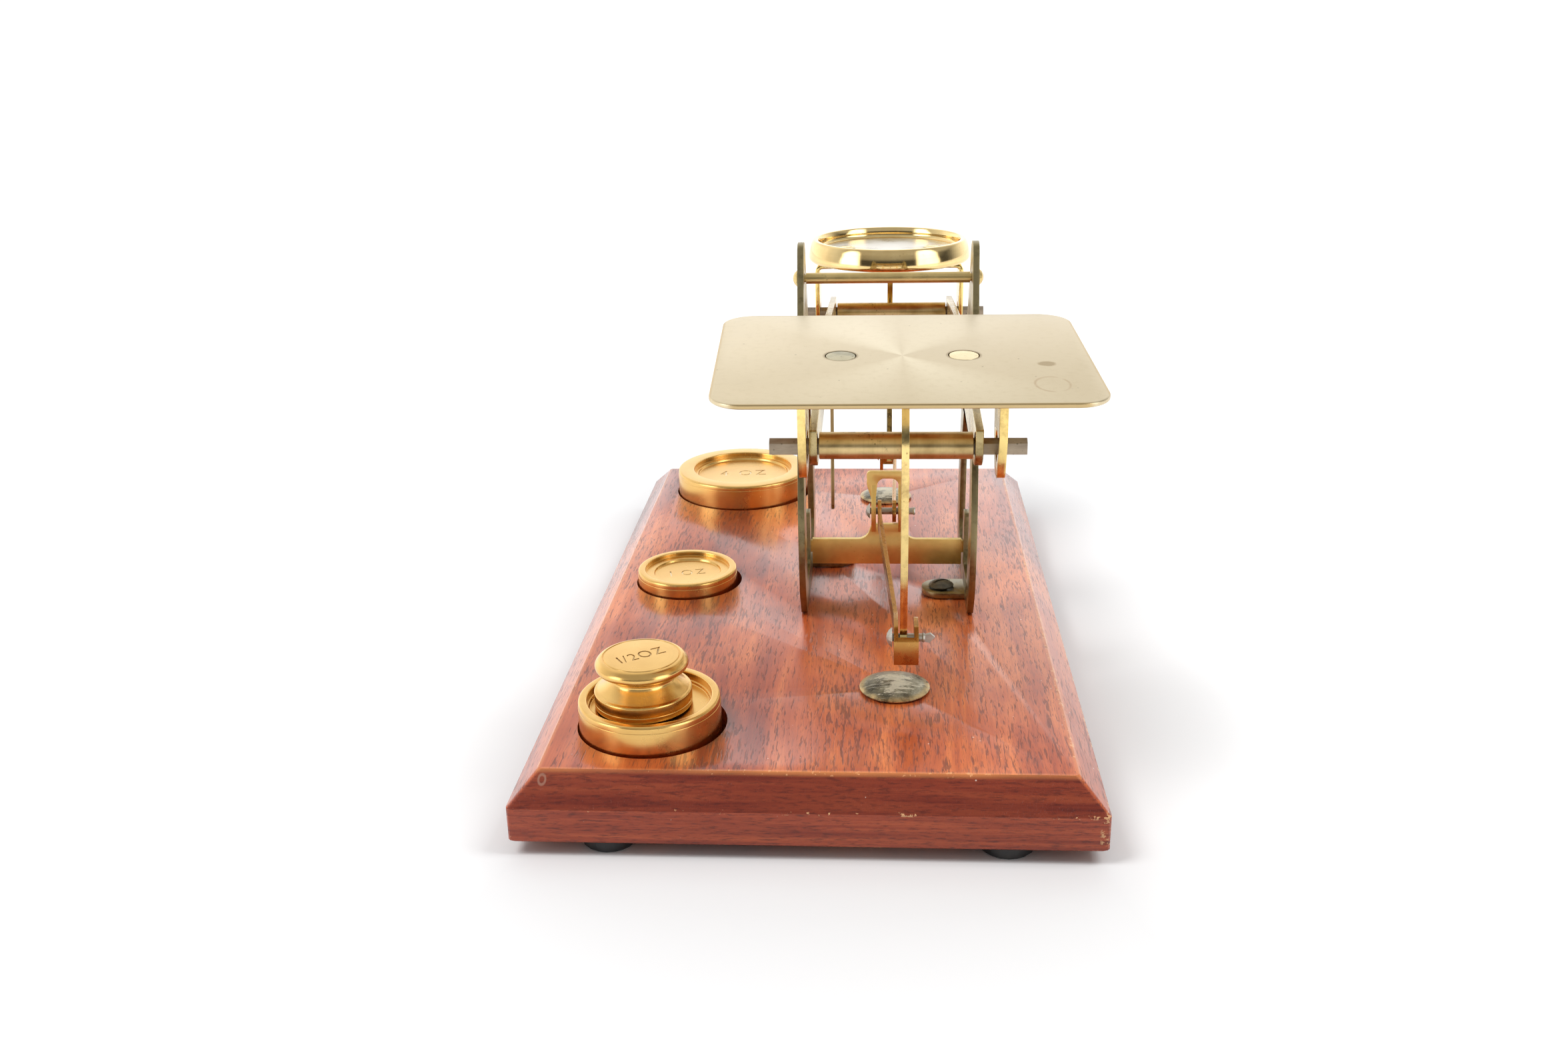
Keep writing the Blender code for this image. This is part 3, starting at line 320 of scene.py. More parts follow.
def letter_brass():
    """Pale satin brass with circular brushing, small stains and a ring mark; the brushing's reflection is
    painted as pale rays, and painted shade darkens its right side.
    """
    look = Look("letter_plate_brass", metallic=1.0)
    x = look.axis(0)
    y = look.axis(1)
    radius = look.plan_length(x, y)
    angle = look.math("ARCTAN2", y, x)

    def painted_reflection_rays(turn, edge):
        """Two soft rays of painted reflection from the middle, one towards the angle -turn and one the other
        way.
        """
        nearness = look.math("COSINE", look.math("MULTIPLY", look.math("ADD", angle, turn), 2.0))
        return look.span(nearness, edge, 1.0)

    # Painted reflection: pale rays from the middle, where the brushed plate would mirror the lights.
    rays = look.math("MAXIMUM", painted_reflection_rays(1.10, 0.45),
                     look.math("MULTIPLY", painted_reflection_rays(-1.14, 0.5), 0.7))
    rays = look.math("MULTIPLY", rays, look.span(radius, 0.5 * MM, 30 * MM, 1.0, 0.35))
    cloud = look.noise(45.0, 4, 0.6)
    base = look.ramp(cloud, [(0.3, (0.62, 0.515, 0.33)), (0.6, (0.69, 0.58, 0.385))])
    # Painted shade: up to 0.3 of a darker brown towards the right (+X), where less light falls.
    base = look.mix(look.span(x, -26 * MM, 6 * MM, 0.0, 0.30), base, (0.50, 0.41, 0.26))
    # The painted reflection rays lighten the colour here.
    colour = look.mix(look.math("MULTIPLY", rays, 0.55), base, (0.90, 0.81, 0.60))
    mottle = look.noise(650.0, 4, 0.7)
    colour = look.mix(look.span(mottle, 0.5, 0.75, 0, 0.25), colour, (0.50, 0.39, 0.21))
    speck = look.span(look.spots(330.0), 0.045, 0.07, 1, 0)
    speck = look.math("MULTIPLY", speck, look.span(look.noise(70.0, 2), 0.46, 0.6))
    colour = look.mix(look.math("MULTIPLY", speck, 0.7), colour, (0.16, 0.10, 0.05))

    def oval(cx, cy, rx, ry):
        """0 at the point cx, cy and 1 on the oval of radii rx, ry round it. In millimetres."""
        moved = look.node("ShaderNodeMapping", {"Vector": look.place, "Location": (-cx / rx, -cy / ry, 0),
                                                "Scale": (1 / (rx * MM), 1 / (ry * MM), 0)}).outputs[0]
        return look.length(moved)

    ragged = look.math("MULTIPLY", look.noise(420.0, 3), 0.5)
    blot = look.span(look.math("ADD", oval(24.0, -5.0, 1.7, 1.4), ragged), 1.0, 1.3, 1, 0)
    colour = look.mix(look.math("MULTIPLY", blot, 0.32), colour, (0.38, 0.25, 0.12))
    ring = look.math("ABSOLUTE", look.math("SUBTRACT", oval(23.4, -15.6, 2.8, 3.7), 1.0))
    ring = look.span(ring, 0.02, 0.11, 1, 0)
    ring = look.math("MULTIPLY", ring, look.span(look.noise(260.0, 2), 0.35, 0.62))
    colour = look.mix(look.math("MULTIPLY", ring, 0.5), colour, (0.42, 0.27, 0.13))

    # Dull brown where the polish never reached at the plate's outer edge, and a darker brown ring round each
    # rivet.
    aside = look.math("ABSOLUTE", x)
    inset = look.math("MAXIMUM", look.math("SUBTRACT", aside, PLATE_HALF_WIDTH),
                      look.math("SUBTRACT", look.math("ABSOLUTE", y), PLATE_HALF_DEPTH))
    border = look.span(inset, -0.55 * MM, -0.15 * MM)
    colour = look.mix(look.math("MULTIPLY", border, 0.7), colour, (0.50, 0.34, 0.13))
    from_rivet = look.plan_length(look.math("SUBTRACT", aside, RIVET_OFFSET), y)
    halo = look.span(from_rivet, 2.6 * MM, 3.2 * MM, 1, 0)
    colour = look.mix(look.math("MULTIPLY", halo, 0.65), colour, (0.22, 0.15, 0.07))

    along = look.node("ShaderNodeCombineXYZ", {"X": radius}).outputs[0]
    rings = look.noise(1.0, 3, 0.7, look.stretch(2400, 1, 1, source=along))
    roughness = look.math("ADD", look.span(cloud, 0.3, 0.7, 0.30, 0.38),
                          look.math("MULTIPLY", look.math("MAXIMUM", blot, halo), 0.2))
    relief = look.bump(look.math("ADD", rings, look.math("MULTIPLY", mottle, 0.6)), 0.006 * MM, 0.8)
    return look.wire(Base_Color=colour, Roughness=roughness, Normal=relief)


def sheet_brass(name, face, edge, deep, roughness, axis):
    """Sheet metal with sawn edges of another colour; on the stays that colour is partly a painted reflection
    of the wood. axis is the sheet's normal, 0 for X.
    """
    look = Look(name, metallic=1.0)
    on_face = look.span(look.math("ABSOLUTE", look.axis(axis, look.normal)), 0.55, 0.9)
    cloud = look.noise(80.0, 4, 0.6)
    mottle = look.noise(620.0, 4, 0.7)
    faces = look.ramp(cloud, [(0.30, deep), (0.50, face), (0.7, face)])
    tone = look.math("ADD", look.math("MULTIPLY", mottle, 0.5), look.math("MULTIPLY", cloud, 0.5))
    edges = look.ramp(tone, [(0.34, deep), (0.52, edge), (0.68, edge)])
    colour = look.mix(on_face, edges, faces)
    specks = look.span(look.spots(900.0), 0.12, 0.2, 1, 0)
    specks = look.math("MULTIPLY", specks, look.span(look.noise(120.0, 2), 0.45, 0.6))
    colour = look.mix(look.math("MULTIPLY", specks, 0.5), colour, deep)
    saw = look.noise(1.0, 3, 0.6, look.stretch(1100, 1100, 1100, (0.4, 0.1, 0.2)))
    rough = look.math("ADD", look.span(mottle, 0.35, 0.7, *roughness), look.math("MULTIPLY", specks, 0.2))
    relief = look.bump(look.math("ADD", saw, look.math("MULTIPLY", mottle, 0.5)), 0.010 * MM, 0.5)
    return look.wire(Base_Color=colour, Roughness=rough, Normal=relief)


def dull_steel(name, light, dark):
    """Steel drawn along X, with brown pits."""
    look = Look(name, metallic=0.9)
    grain = look.noise(1.0, 4, 0.7, look.stretch(260, 1400, 1400))
    cloud = look.noise(160.0, 3)
    tone = look.math("ADD", look.math("MULTIPLY", grain, 0.5), look.math("MULTIPLY", cloud, 0.5))
    colour = look.ramp(tone, [(0.34, dark), (0.62, light)])
    pits = look.span(look.spots(900.0), 0.1, 0.2, 1, 0)
    colour = look.mix(look.math("MULTIPLY", pits, 0.6), colour, (0.10, 0.075, 0.05))
    return look.wire(Base_Color=colour, Roughness=look.span(grain, 0.3, 0.7, 0.38, 0.56),
                     Normal=look.bump(grain, 0.03 * MM, 0.6))


def tarnished_plate():
    """Silvered discs, gone dark, with a pale crust over the middle and brass along the rim."""
    look = Look("tarnished_plate", metallic=0.8)
    cloud = look.noise(330.0, 5, 0.7, warp=0.25)
    colour = look.ramp(cloud, [(0.36, (0.070, 0.062, 0.040)), (0.48, (0.165, 0.145, 0.095)),
                               (0.58, (0.27, 0.245, 0.165)), (0.7, (0.46, 0.43, 0.33))])
    radius = look.plan_length(look.axis(0), look.axis(1))
    middle = look.span(radius, 1.5 * MM, 6.2 * MM, 0.16, -0.06)
    crust = look.noise(1.0, 4, 0.75, look.stretch(300, 900, 600, (0, 0, 0.1)), 0.8)
    crust = look.span(look.math("ADD", crust, middle), 0.56, 0.64)
    colour = look.mix(look.math("MULTIPLY", crust, 0.8), colour, (0.80, 0.74, 0.58))
    scratch = look.noise(1.0, 2, 0.5, look.stretch(300, 2600, 600, (0, 0, 0.4)))
    colour = look.mix(look.span(scratch, 0.62, 0.68, 0.0, 0.4), colour, (0.72, 0.69, 0.6))
    rim = look.math("MULTIPLY", look.span(radius, 5.4 * MM, 6.3 * MM), look.span(cloud, 0.42, 0.55, 0.2, 0.9))
    colour = look.mix(rim, colour, (0.62, 0.44, 0.20))
    rough = look.math("ADD", look.span(cloud, 0.3, 0.7, 0.22, 0.42), look.math("MULTIPLY", crust, 0.25))
    return look.wire(Base_Color=colour, Roughness=rough,
                     Normal=look.bump(look.math("ADD", cloud, crust), 0.02 * MM, 0.5))


def black_rubber():
    """Dusty black rubber."""
    look = Look("black_rubber")
    grain = look.noise(1800.0, 3, 0.6)
    dust = look.noise(260.0, 4, 0.7)
    colour = look.ramp(dust, [(0.4, (0.010, 0.010, 0.011)), (0.72, (0.035, 0.033, 0.031))])
    return look.wire(Base_Color=colour, Roughness=look.span(dust, 0.3, 0.7, 0.42, 0.7),
                     Normal=look.bump(grain, 0.03 * MM, 0.5))


OLIVE = (0.30, 0.225, 0.105)
DEEP = (0.115, 0.078, 0.035)

LOOKS = {
    "wood": mahogany(),
    "rubber": black_rubber(),
    "weight": worn_brass("weight_brass", (0.82, 0.515, 0.172), (0.68, 0.395, 0.115), (0.22, 0.14, 0.055),
                         (0.22, 0.28), 0.14, marks=1900, contrast=0.7),
    "pan": worn_brass("pan_brass", (0.88, 0.66, 0.31), (0.74, 0.51, 0.21), OLIVE,
                      (0.06, 0.12), 0.25, marks=1500),
    "pan_floor": worn_brass("pan_floor_brass", (0.88, 0.86, 0.80), (0.78, 0.75, 0.68), (0.45, 0.40, 0.30),
                            (0.25, 0.38), 0.25, marks=1100),
    "engraved": worn_brass("engraved_brass", (0.58, 0.38, 0.15), (0.42, 0.26, 0.10), DEEP, (0.35, 0.5)),
    "engraved_faint": worn_brass("engraved_faint_brass", (0.92, 0.78, 0.52), (0.74, 0.54, 0.26), OLIVE,
                                 (0.3, 0.45)),
    "letter": letter_brass(),
    "rivet_bright": worn_brass("rivet_bright", (0.88, 0.75, 0.46), (0.72, 0.53, 0.24), OLIVE,
                               (0.22, 0.34), 0.6, marks=2200),
    "rivet_grimy": worn_brass("rivet_grimy", (0.60, 0.54, 0.37), (0.30, 0.275, 0.175), (0.09, 0.085, 0.05),
                              (0.34, 0.5), 0.9, marks=1900, contrast=2.0),
    "spacer": worn_brass("spacer_brass", (0.66, 0.49, 0.24), (0.40, 0.28, 0.12), (0.16, 0.11, 0.05),
                         (0.28, 0.40), 0.8, marks=2400, contrast=1.6),
    "frame_plate": sheet_brass("frame_plate_brass", (0.55, 0.47, 0.30), (0.30, 0.245, 0.125),
                               (0.15, 0.12, 0.06), (0.28, 0.40), 0),
    "beam": sheet_brass("beam_brass", (0.76, 0.64, 0.38), (0.46, 0.36, 0.175), (0.24, 0.18, 0.08),
                        (0.20, 0.32), 0),
    "carrier": sheet_brass("carrier_brass", (0.80, 0.62, 0.30), (0.92, 0.69, 0.26), (0.56, 0.38, 0.13),
                           (0.14, 0.24), 0),
    "stem": sheet_brass("stem_brass", (0.66, 0.51, 0.25), (0.88, 0.66, 0.27), (0.52, 0.36, 0.14),
                        (0.12, 0.22), 0),
    # The stays' orange edge colour is partly painted reflection: it stands for the wood mirrored in their
    # front faces.
    "stay": sheet_brass("stay_brass", (0.46, 0.34, 0.18), (0.52, 0.27, 0.075), (0.34, 0.19, 0.06),
                        (0.24, 0.36), 0),
    "bracket": sheet_brass("bracket_brass", (1.0, 0.72, 0.25), (0.92, 0.72, 0.32), (0.80, 0.54, 0.17),
                           (0.42, 0.52), 1),
    "tie_bar": worn_brass("tie_bar_brass", (0.80, 0.60, 0.26), (0.58, 0.43, 0.18), (0.22, 0.17, 0.08),
                          (0.30, 0.42), 0.6, marks=1900),
    "pointer": worn_brass("pointer_brass", (0.42, 0.30, 0.14), (0.26, 0.18, 0.08), DEEP, (0.35, 0.5)),
    "knife": dull_steel("knife_steel", (0.40, 0.33, 0.245), (0.22, 0.17, 0.12)),
    "pin": dull_steel("pin_steel", (0.60, 0.565, 0.50), (0.34, 0.31, 0.26)),
    "screw": dull_steel("screw_steel", (0.20, 0.175, 0.125), (0.085, 0.075, 0.055)),
    "disc": tarnished_plate(),
}

NODE_LOOKS = {
    "wooden_base": "wood", "foot": "rubber", "stop_disc": "disc", "weight_pan": "pan", "weight_rivet": "pan",
    "weight_carrier": "carrier", "weight_stem": "stem", "weight": "weight", "frame_plate": "frame_plate",
    "frame_tie_bar": "tie_bar", "frame_screw": "screw", "stay_bracket": "bracket", "stay_pivot_pin": "pin",
    "beam_bar": "beam", "knife": "knife", "spacer": "spacer", "pointer": "pointer",
    "letter_plate": "letter", "letter_rivet_right": "rivet_bright", "letter_rivet_left": "rivet_grimy",
    "letter_carrier": "carrier", "letter_stem": "stem", "front_stay_pin": "pin", "rear_stay_pin": "pin",
    "front_stay": "stay", "rear_stay": "stay",
}


def look_of(node):
    """The look for a node: the longest name in NODE_LOOKS that the node's name starts with."""
    best = max((k for k in NODE_LOOKS if node.startswith(k)), key=len)
    return LOOKS[NODE_LOOKS[best]]


# Pieces.

def link(name, data):
    """A new object in the scene."""
    made = bpy.data.objects.new(name, data)
    bpy.context.scene.collection.objects.link(made)
    return made


def new_mesh(name, bm):
    """The mesh of a finished bmesh, with its faces turned outwards."""
    bmesh.ops.recalc_face_normals(bm, faces=bm.faces)
    mesh = bpy.data.meshes.new(name)
    bm.to_mesh(mesh)
    bm.free()
    return mesh


def place_piece(name, mesh, node, matrix=None, looks=None):
    """Link a mesh as a piece that stands for a CAD node and rides on its body."""
    for look in looks or [look_of(node)]:
        mesh.materials.append(look)
    piece = link(name, mesh)
    if matrix is not None:
        piece.matrix_world = matrix
    bpy.context.view_layer.update()
    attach(piece, node_body[node])
    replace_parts(piece, node)
    return piece


def apply_modifiers(piece):
    """Replace the piece's mesh by what its modifiers make of it."""
    graph = bpy.context.evaluated_depsgraph_get()
    mesh = bpy.data.meshes.new_from_object(piece.evaluated_get(graph))
    piece.modifiers.clear()
    piece.data = mesh


def cut_away(piece, mesh, matrix, material_mode="INDEX"):
    """Cut a closed mesh, standing at matrix, out of the piece."""
    cutter = link("cutter", mesh)
    cutter.matrix_world = matrix
    cut = piece.modifiers.new("cut", "BOOLEAN")
    cut.operation = "DIFFERENCE"
    cut.solver = "EXACT"
    cut.material_mode = material_mode
    cut.object = cutter
    bpy.context.view_layer.update()
    apply_modifiers(piece)
    bpy.data.objects.remove(cutter)


def soften(mesh, width, segments, angle):
    """Round a solid's sharp edges, after joining the flat triangles that make up its faces."""
    bm = bmesh.new()
    bm.from_mesh(mesh)
    bmesh.ops.remove_doubles(bm, verts=bm.verts, dist=1e-6)
    bmesh.ops.dissolve_limit(bm, angle_limit=math.radians(0.6), verts=bm.verts, edges=bm.edges)
    bm.to_mesh(mesh)
    bm.free()
    holder = link("soften", mesh)
    bevel = holder.modifiers.new("bevel", "BEVEL")
    bevel.width = width
    bevel.segments = segments
    bevel.limit_method = "ANGLE"
    bevel.angle_limit = math.radians(angle)
    bevel.harden_normals = False
    bevel.use_clamp_overlap = True
    apply_modifiers(holder)
    made = holder.data
    bpy.data.objects.remove(holder)
    made.shade_smooth()
    made.set_sharp_from_angle(angle=math.radians(50))
    return made


def refine(node, width, segments=2, angle=28):
    """A copy of a CAD node with softened edges."""
    mesh = nodes[node].data.copy()
    mesh.materials.clear()
    place_piece(node + "_detail", soften(mesh, width * MM, segments, angle), node)


def spun(profile, steps=96):
    """A solid turned about Z from (radius, height) points in millimetres."""
    bm = bmesh.new()
    verts = [bm.verts.new((r * MM, 0, z * MM)) for r, z in profile]
    edges = [bm.edges.new(pair) for pair in zip(verts, verts[1:])]
    bmesh.ops.spin(bm, geom=verts + edges, cent=(0, 0, 0), axis=(0, 0, 1),
                   angle=2 * math.pi, steps=steps, use_merge=True)
    bmesh.ops.remove_doubles(bm, verts=bm.verts, dist=1e-7)
    mesh = new_mesh("spun", bm)
    mesh.shade_smooth()
    mesh.set_sharp_from_angle(angle=SMOOTH_ANGLE)
    return mesh


def filleted(profile, steps):
    """Round the corners of a profile of (radius, height, fillet) points, in millimetres."""
    points = []
    for i, (r, z, fillet) in enumerate(profile):
        if fillet == 0 or i in (0, len(profile) - 1):
            points.append((r, z))
            continue
        here = Vector((r, z))
        before = Vector(profile[i - 1][:2]) - here
        after = Vector(profile[i + 1][:2]) - here
        reach = min(fillet, before.length * 0.49, after.length * 0.49)
        start = here + before.normalized() * reach
        end = here + after.normalized() * reach
        for k in range(steps + 1):
            t = k / steps
            points.append(tuple(start * (1 - t) ** 2 + here * 2 * t * (1 - t) + end * t ** 2))
    return points


def dome(radius, height, base, steps):
    """Profile points of a domed head, from its rim to its crown, in millimetres."""
    sphere = (radius ** 2 + height ** 2) / (2 * height)
    widest = math.asin(min(1.0, radius / sphere))
    angles = [widest * (1 - k / steps) for k in range(steps + 1)]
    return [(sphere * math.sin(a), base + sphere * math.cos(a) - sphere + height) for a in angles]


def centre_of(node):
    """The middle of a CAD node's box."""
    low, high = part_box(node)
    return (low + high) / 2


def seat_of(node, height=None):
    """The frame of a piece that stands where the node does, at a height or at the node's own foot."""
    middle = centre_of(node)
    return Matrix.Translation((middle.x, middle.y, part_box(node)[0].z if height is None else height))


def letter_solid(letter, size, depth, look):
    """A solid letter about z = 0, its left edge at x = 0, and its width."""
    curve = bpy.data.curves.new("letter", "FONT")
    curve.body = letter
    curve.size = size
    curve.align_y = "CENTER"
    curve.extrude = depth
    curve.resolution_u = 5
    holder = link("letter", curve)
    bpy.context.view_layer.update()
    mesh = bpy.data.meshes.new_from_object(holder.evaluated_get(bpy.context.evaluated_depsgraph_get()))
    bpy.data.objects.remove(holder)
    mesh.materials.clear()
    mesh.materials.append(look)
    bm = bmesh.new()
    bm.from_mesh(mesh)
    bmesh.ops.remove_doubles(bm, verts=bm.verts, dist=1e-7)
    bmesh.ops.recalc_face_normals(bm, faces=bm.faces)
    left = min(v.co.x for v in bm.verts)
    width = max(v.co.x for v in bm.verts) - left
    bmesh.ops.translate(bm, verts=bm.verts, vec=(-left, 0, 0))
    bmesh.ops.scale(bm, verts=bm.verts, vec=(LETTER_NARROWING, 1, 1))
    bm.to_mesh(mesh)
    bm.free()
    return mesh, width * LETTER_NARROWING


def engrave(piece, text, size, height, turn, look, gap=0.16):
    """Cut letters one by one into a flat top at height, turned by degrees. Lengths in millimetres."""
    cut = [letter_solid(letter, size * MM, ENGRAVING_DEPTH, LOOKS[look]) if letter != " "
           else (None, size * MM * 0.2) for letter in text]
    x = -(sum(width for mesh, width in cut) + gap * size * MM * (len(text) - 1)) / 2
    top = (piece.matrix_world @ Matrix.Translation((0, 0, height * MM))
           @ Matrix.Rotation(math.radians(turn), 4, "Z"))
    for mesh, width in cut:
        if mesh:
            cut_away(piece, mesh, top @ Matrix.Translation((x, 0, 0)), "TRANSFER")
        x += width + gap * size * MM
    piece.data.set_sharp_from_angle(angle=SMOOTH_ANGLE)


def make_ring_weight(node, top, height, radius, recess, rim_width, ledge, rim_round=0.55, marking=None):
    """A round weight with a raised rim, in millimetres; top is measured from the base's top.

    Inside the rim a ledge runs round a floor that lies 0.5 below it. marking is (text, size, turn)."""
    bottom = top - height
    rim = radius - rim_width
    floor = top - recess - 0.5
    profile = filleted([
        (0, bottom, 0), (radius, bottom, 0.8), (radius, top - 1.3, 0.15), (radius - 0.06, top - 1.25, 0),
        (radius - 0.06, top, rim_round), (rim, top, 0.35), (rim, top - recess, 0.12),
        (rim - ledge, top - recess, 0.1), (rim - ledge - 0.2, floor, 0.12), (0, floor, 0)], 5)
    piece = place_piece(node + "_detail", spun(profile, 128), node, seat_of(node, BASE_TOP))
    if marking:
        text, size, turn = marking
        engrave(piece, text, size, floor, turn, "engraved_faint")


def make_knob_weight():
    """The half-ounce weight: a drum, a waist and a knob with a grooved top."""
    profile = filleted([
        (0, 0, 0), (8.8, 0, 0.35), (8.8, 1.0, 0), (8.72, 1.08, 0), (8.8, 1.16, 0), (8.8, 3.05, 0.25),
        (8.2, 3.2, 0.2), (7.1, 3.9, 0.9), (5.8, 5.1, 0.7), (5.8, 5.9, 0.5), (7.0, 6.6, 0.6), (8.3, 7.2, 0.6),
        (8.45, 8.3, 0.8), (7.6, 9.15, 0.35), (7.05, KNOB_TOP, 0.1), (6.95, 9.14, 0.05), (6.8, 9.14, 0.05),
        (6.7, KNOB_TOP, 0.1), (0, KNOB_TOP, 0)], 5)
    piece = place_piece("weight_half_oz_detail", spun(profile, 128), "weight_half_oz",
                        seat_of("weight_half_oz"))
    engrave(piece, "1/2OZ", 4.0, KNOB_TOP, 34, "engraved", gap=0.11)


def make_weight_pan():
    """The round pan, with a paler floor and holes for its two rivets."""
    profile = filleted([
        (0, 1.63, 0), (13.4, 1.63, 0.2), (14.0, 0, 0.2), (19.2, 0, 0.5), (19.8, 0.8, 0.4), (19.66, 2.5, 0.8),
        (19.1, 4.4, 0.5), (18.7, 5.2, 0.4), (17.5, 5.2, 0.3), (17.15, 4.2, 0.3), (17.1, 3.2, 0.5),
        (16.5, PAN_FLOOR, 0.4), (0, PAN_FLOOR, 0)], 5)
    mesh = spun(profile, 128)
    for polygon in mesh.polygons:
        if polygon.center.z > (PAN_FLOOR - 0.1) * MM and polygon.center.xy.length < 16.2 * MM:
            polygon.material_index = 1
    piece = place_piece("weight_pan_detail", mesh, "weight_pan", seat_of("weight_pan"),
                        [LOOKS["pan"], LOOKS["pan_floor"]])
    for side in ("right", "left"):
        cut_away(piece, spun([(0, -9), (1.5, -9), (1.5, 9), (0, 9)], 24),
                 Matrix.Translation(centre_of(f"weight_rivet_{side}")))


def make_stop_disc(node):
    """A domed disc on the base's top, with the pin that holds it."""
    profile = [(0, -5.5), (0.6, -4.0), (0.6, 0.3)]
    profile += filleted([(0.6, 0.3, 0), (6.6, 0.3, 0.08), (6.6, 0.52, 0.1)], 3)
    profile += dome(6.55, 1.28, 0.57, 14)
    place_piece(node + "_detail", spun(profile, 72), node, seat_of(node, BASE_TOP))


def make_spacer(node):
    """A tube along X with rounded ends, as long as the CAD node."""
    low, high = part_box(node)
    half = (high.x - low.x) / 2 / MM
    profile = filleted([(2.05, -half, 0), (2.4, -half, 0.12), (2.4, half, 0.12), (2.05, half, 0)], 3)
    profile.append((2.05, -half))
    place_piece(node + "_detail", spun(profile, 64), node,
                Matrix.Translation(centre_of(node)) @ Matrix.Rotation(math.pi / 2, 4, "Y"))


def make_letter_plate():
    """The plate with finely rounded corners and rolled edges, and its two rivets."""
    mount = [m for m in frame["record"]["mounts"] if m["name"] == "letter_plate_top"][0]
    tilt = Euler([math.radians(a) for a in PLATE_TILT]).to_matrix().to_4x4()
    place = Matrix.Translation(mount["pos_m"]) @ tilt
    corner, corner_steps = 5.5 * MM, 16
    outline = []
    for k, (sx, sy) in enumerate(((1, 1), (-1, 1), (-1, -1), (1, -1))):
        for i in range(corner_steps + 1):
            angle = math.pi / 2 * (k + i / corner_steps)
            outline.append((sx * (PLATE_HALF_WIDTH - corner) + corner * math.cos(angle),
                            sy * (PLATE_HALF_DEPTH - corner) + corner * math.sin(angle)))

    # The rim's section, from the underside to the top: (inset, height) in millimetres.
    section = [(0.10, -0.8), (0.02, -0.72), (0.0, -0.62), (0.0, -0.2), (0.03, -0.1), (0.10, -0.03),
               (0.20, 0.0)]
    bm = bmesh.new()
    rows = []
    for inset, z in section:
        scale_x = (PLATE_HALF_WIDTH - inset * MM) / PLATE_HALF_WIDTH
        scale_y = (PLATE_HALF_DEPTH - inset * MM) / PLATE_HALF_DEPTH
        rows.append([bm.verts.new((x * scale_x, y * scale_y, z * MM)) for x, y in outline])
    for a, b in zip(rows, rows[1:]):
        for i in range(len(a)):
            bm.faces.new((a[i - 1], a[i], b[i], b[i - 1]))
    bm.faces.new(rows[0])
    bm.faces.new(rows[-1])
    holder = link("holder", new_mesh("letter_plate", bm))
    for side in (1, -1):
        cut_away(holder, spun([(0, -3), (2.72, -3), (2.72, 3), (0, 3)], 48),
                 Matrix.Translation((side * RIVET_OFFSET, 0, 0)))
    mesh = holder.data
    bpy.data.objects.remove(holder)
    mesh.shade_smooth()
    mesh.set_sharp_from_angle(angle=math.radians(40))
    place_piece("letter_plate_detail", mesh, "letter_plate", place)
    for node, side in (("letter_rivet_right", 1), ("letter_rivet_left", -1)):
        profile = dome(2.5, 0.10, -0.02, 6)[::-1] + filleted([
            (2.5, -0.02, 0), (2.56, -0.1, 0.05), (2.56, -0.68, 0.05), (1.2, -0.9, 0), (1.2, -3.05, 0),
            (2.0, -3.05, 0)], 2)[1:]
        profile += [(r, -z) for r, z in dome(2.0, 0.8, 3.05, 8)[1:]]
        place_piece(node + "_detail", spun(profile, 64), node,
                    place @ Matrix.Translation((side * RIVET_OFFSET, 0, 0)))


refine("wooden_base", 0.38, 3, 25)
make_ring_weight("weight_2_oz", top=5.5, height=14.4, radius=12.85, recess=1.5, rim_width=1.65, ledge=0.2)
make_ring_weight("weight_1_oz", top=3.2, height=9.6, radius=11.1, recess=1.0, rim_width=1.7, ledge=1.9,
                 marking=("1 OZ", 4.2, 14))
make_ring_weight("weight_4_oz", top=6.1, height=15.5, radius=17.1, recess=1.3, rim_width=4.2, ledge=1.0,
                 rim_round=0.8, marking=("4 OZ", 5.6, 6))
make_knob_weight()
make_weight_pan()
for disc in ("stop_disc_front", "stop_disc_rear"):
    make_stop_disc(disc)
for spacer in ("spacer_front", "spacer_centre", "spacer_rear"):
    make_spacer(spacer)
make_letter_plate()
for node, width in (("frame_plate_right", 0.15), ("frame_plate_left", 0.15), ("beam_bar_right", 0.14),
                    ("beam_bar_left", 0.14), ("letter_carrier", 0.14), ("weight_carrier", 0.12),
                    ("letter_stem", 0.12), ("weight_stem", 0.12), ("front_stay", 0.09),
                    ("rear_stay", 0.09), ("stay_bracket", 0.1), ("knife_front", 0.08),
                    ("knife_centre", 0.08), ("knife_rear", 0.08), ("pointer", 0.08)):
    refine(node, width)

# The CAD nodes that are kept as they are get their looks.
replaced = {n for piece in bpy.data.objects for n in piece.get("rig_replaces", [])}
for name, node in nodes.items():
    if name not in replaced:
        node.data.materials.clear()
        node.data.materials.append(look_of(name))


# Floor, light and camera.

def make_floor():
    """A pale floor that glows faintly away from the object, to meet the white room."""
    bm = bmesh.new()
    bmesh.ops.create_grid(bm, x_segments=1, y_segments=1, size=3.0)
    mesh = bpy.data.meshes.new("floor")
    bm.to_mesh(mesh)
    bm.free()
    look = Look("floor", roughness=0.6).set(Emission_Color=WHITE, Specular_IOR_Level=0.25)
    cloud = look.noise(3.0, 3)
    colour = look.ramp(cloud, [(0.3, (0.665, 0.665, 0.672)), (0.7, (0.685, 0.685, 0.688))])
    away = look.length(look.place)
    beside = look.span(look.math("ABSOLUTE", look.axis(0)), 0.050, 0.085, 0.0, 0.30)
    glow = look.math("ADD", look.math("MAXIMUM", beside, look.span(away, 0.105, 0.25, 0.0, 0.34)),
                     look.span(away, 0.25, 0.9, 0.0, 0.36))
    mesh.materials.append(look.wire(Base_Color=colour, Emission_Strength=glow))
    link("floor", mesh)


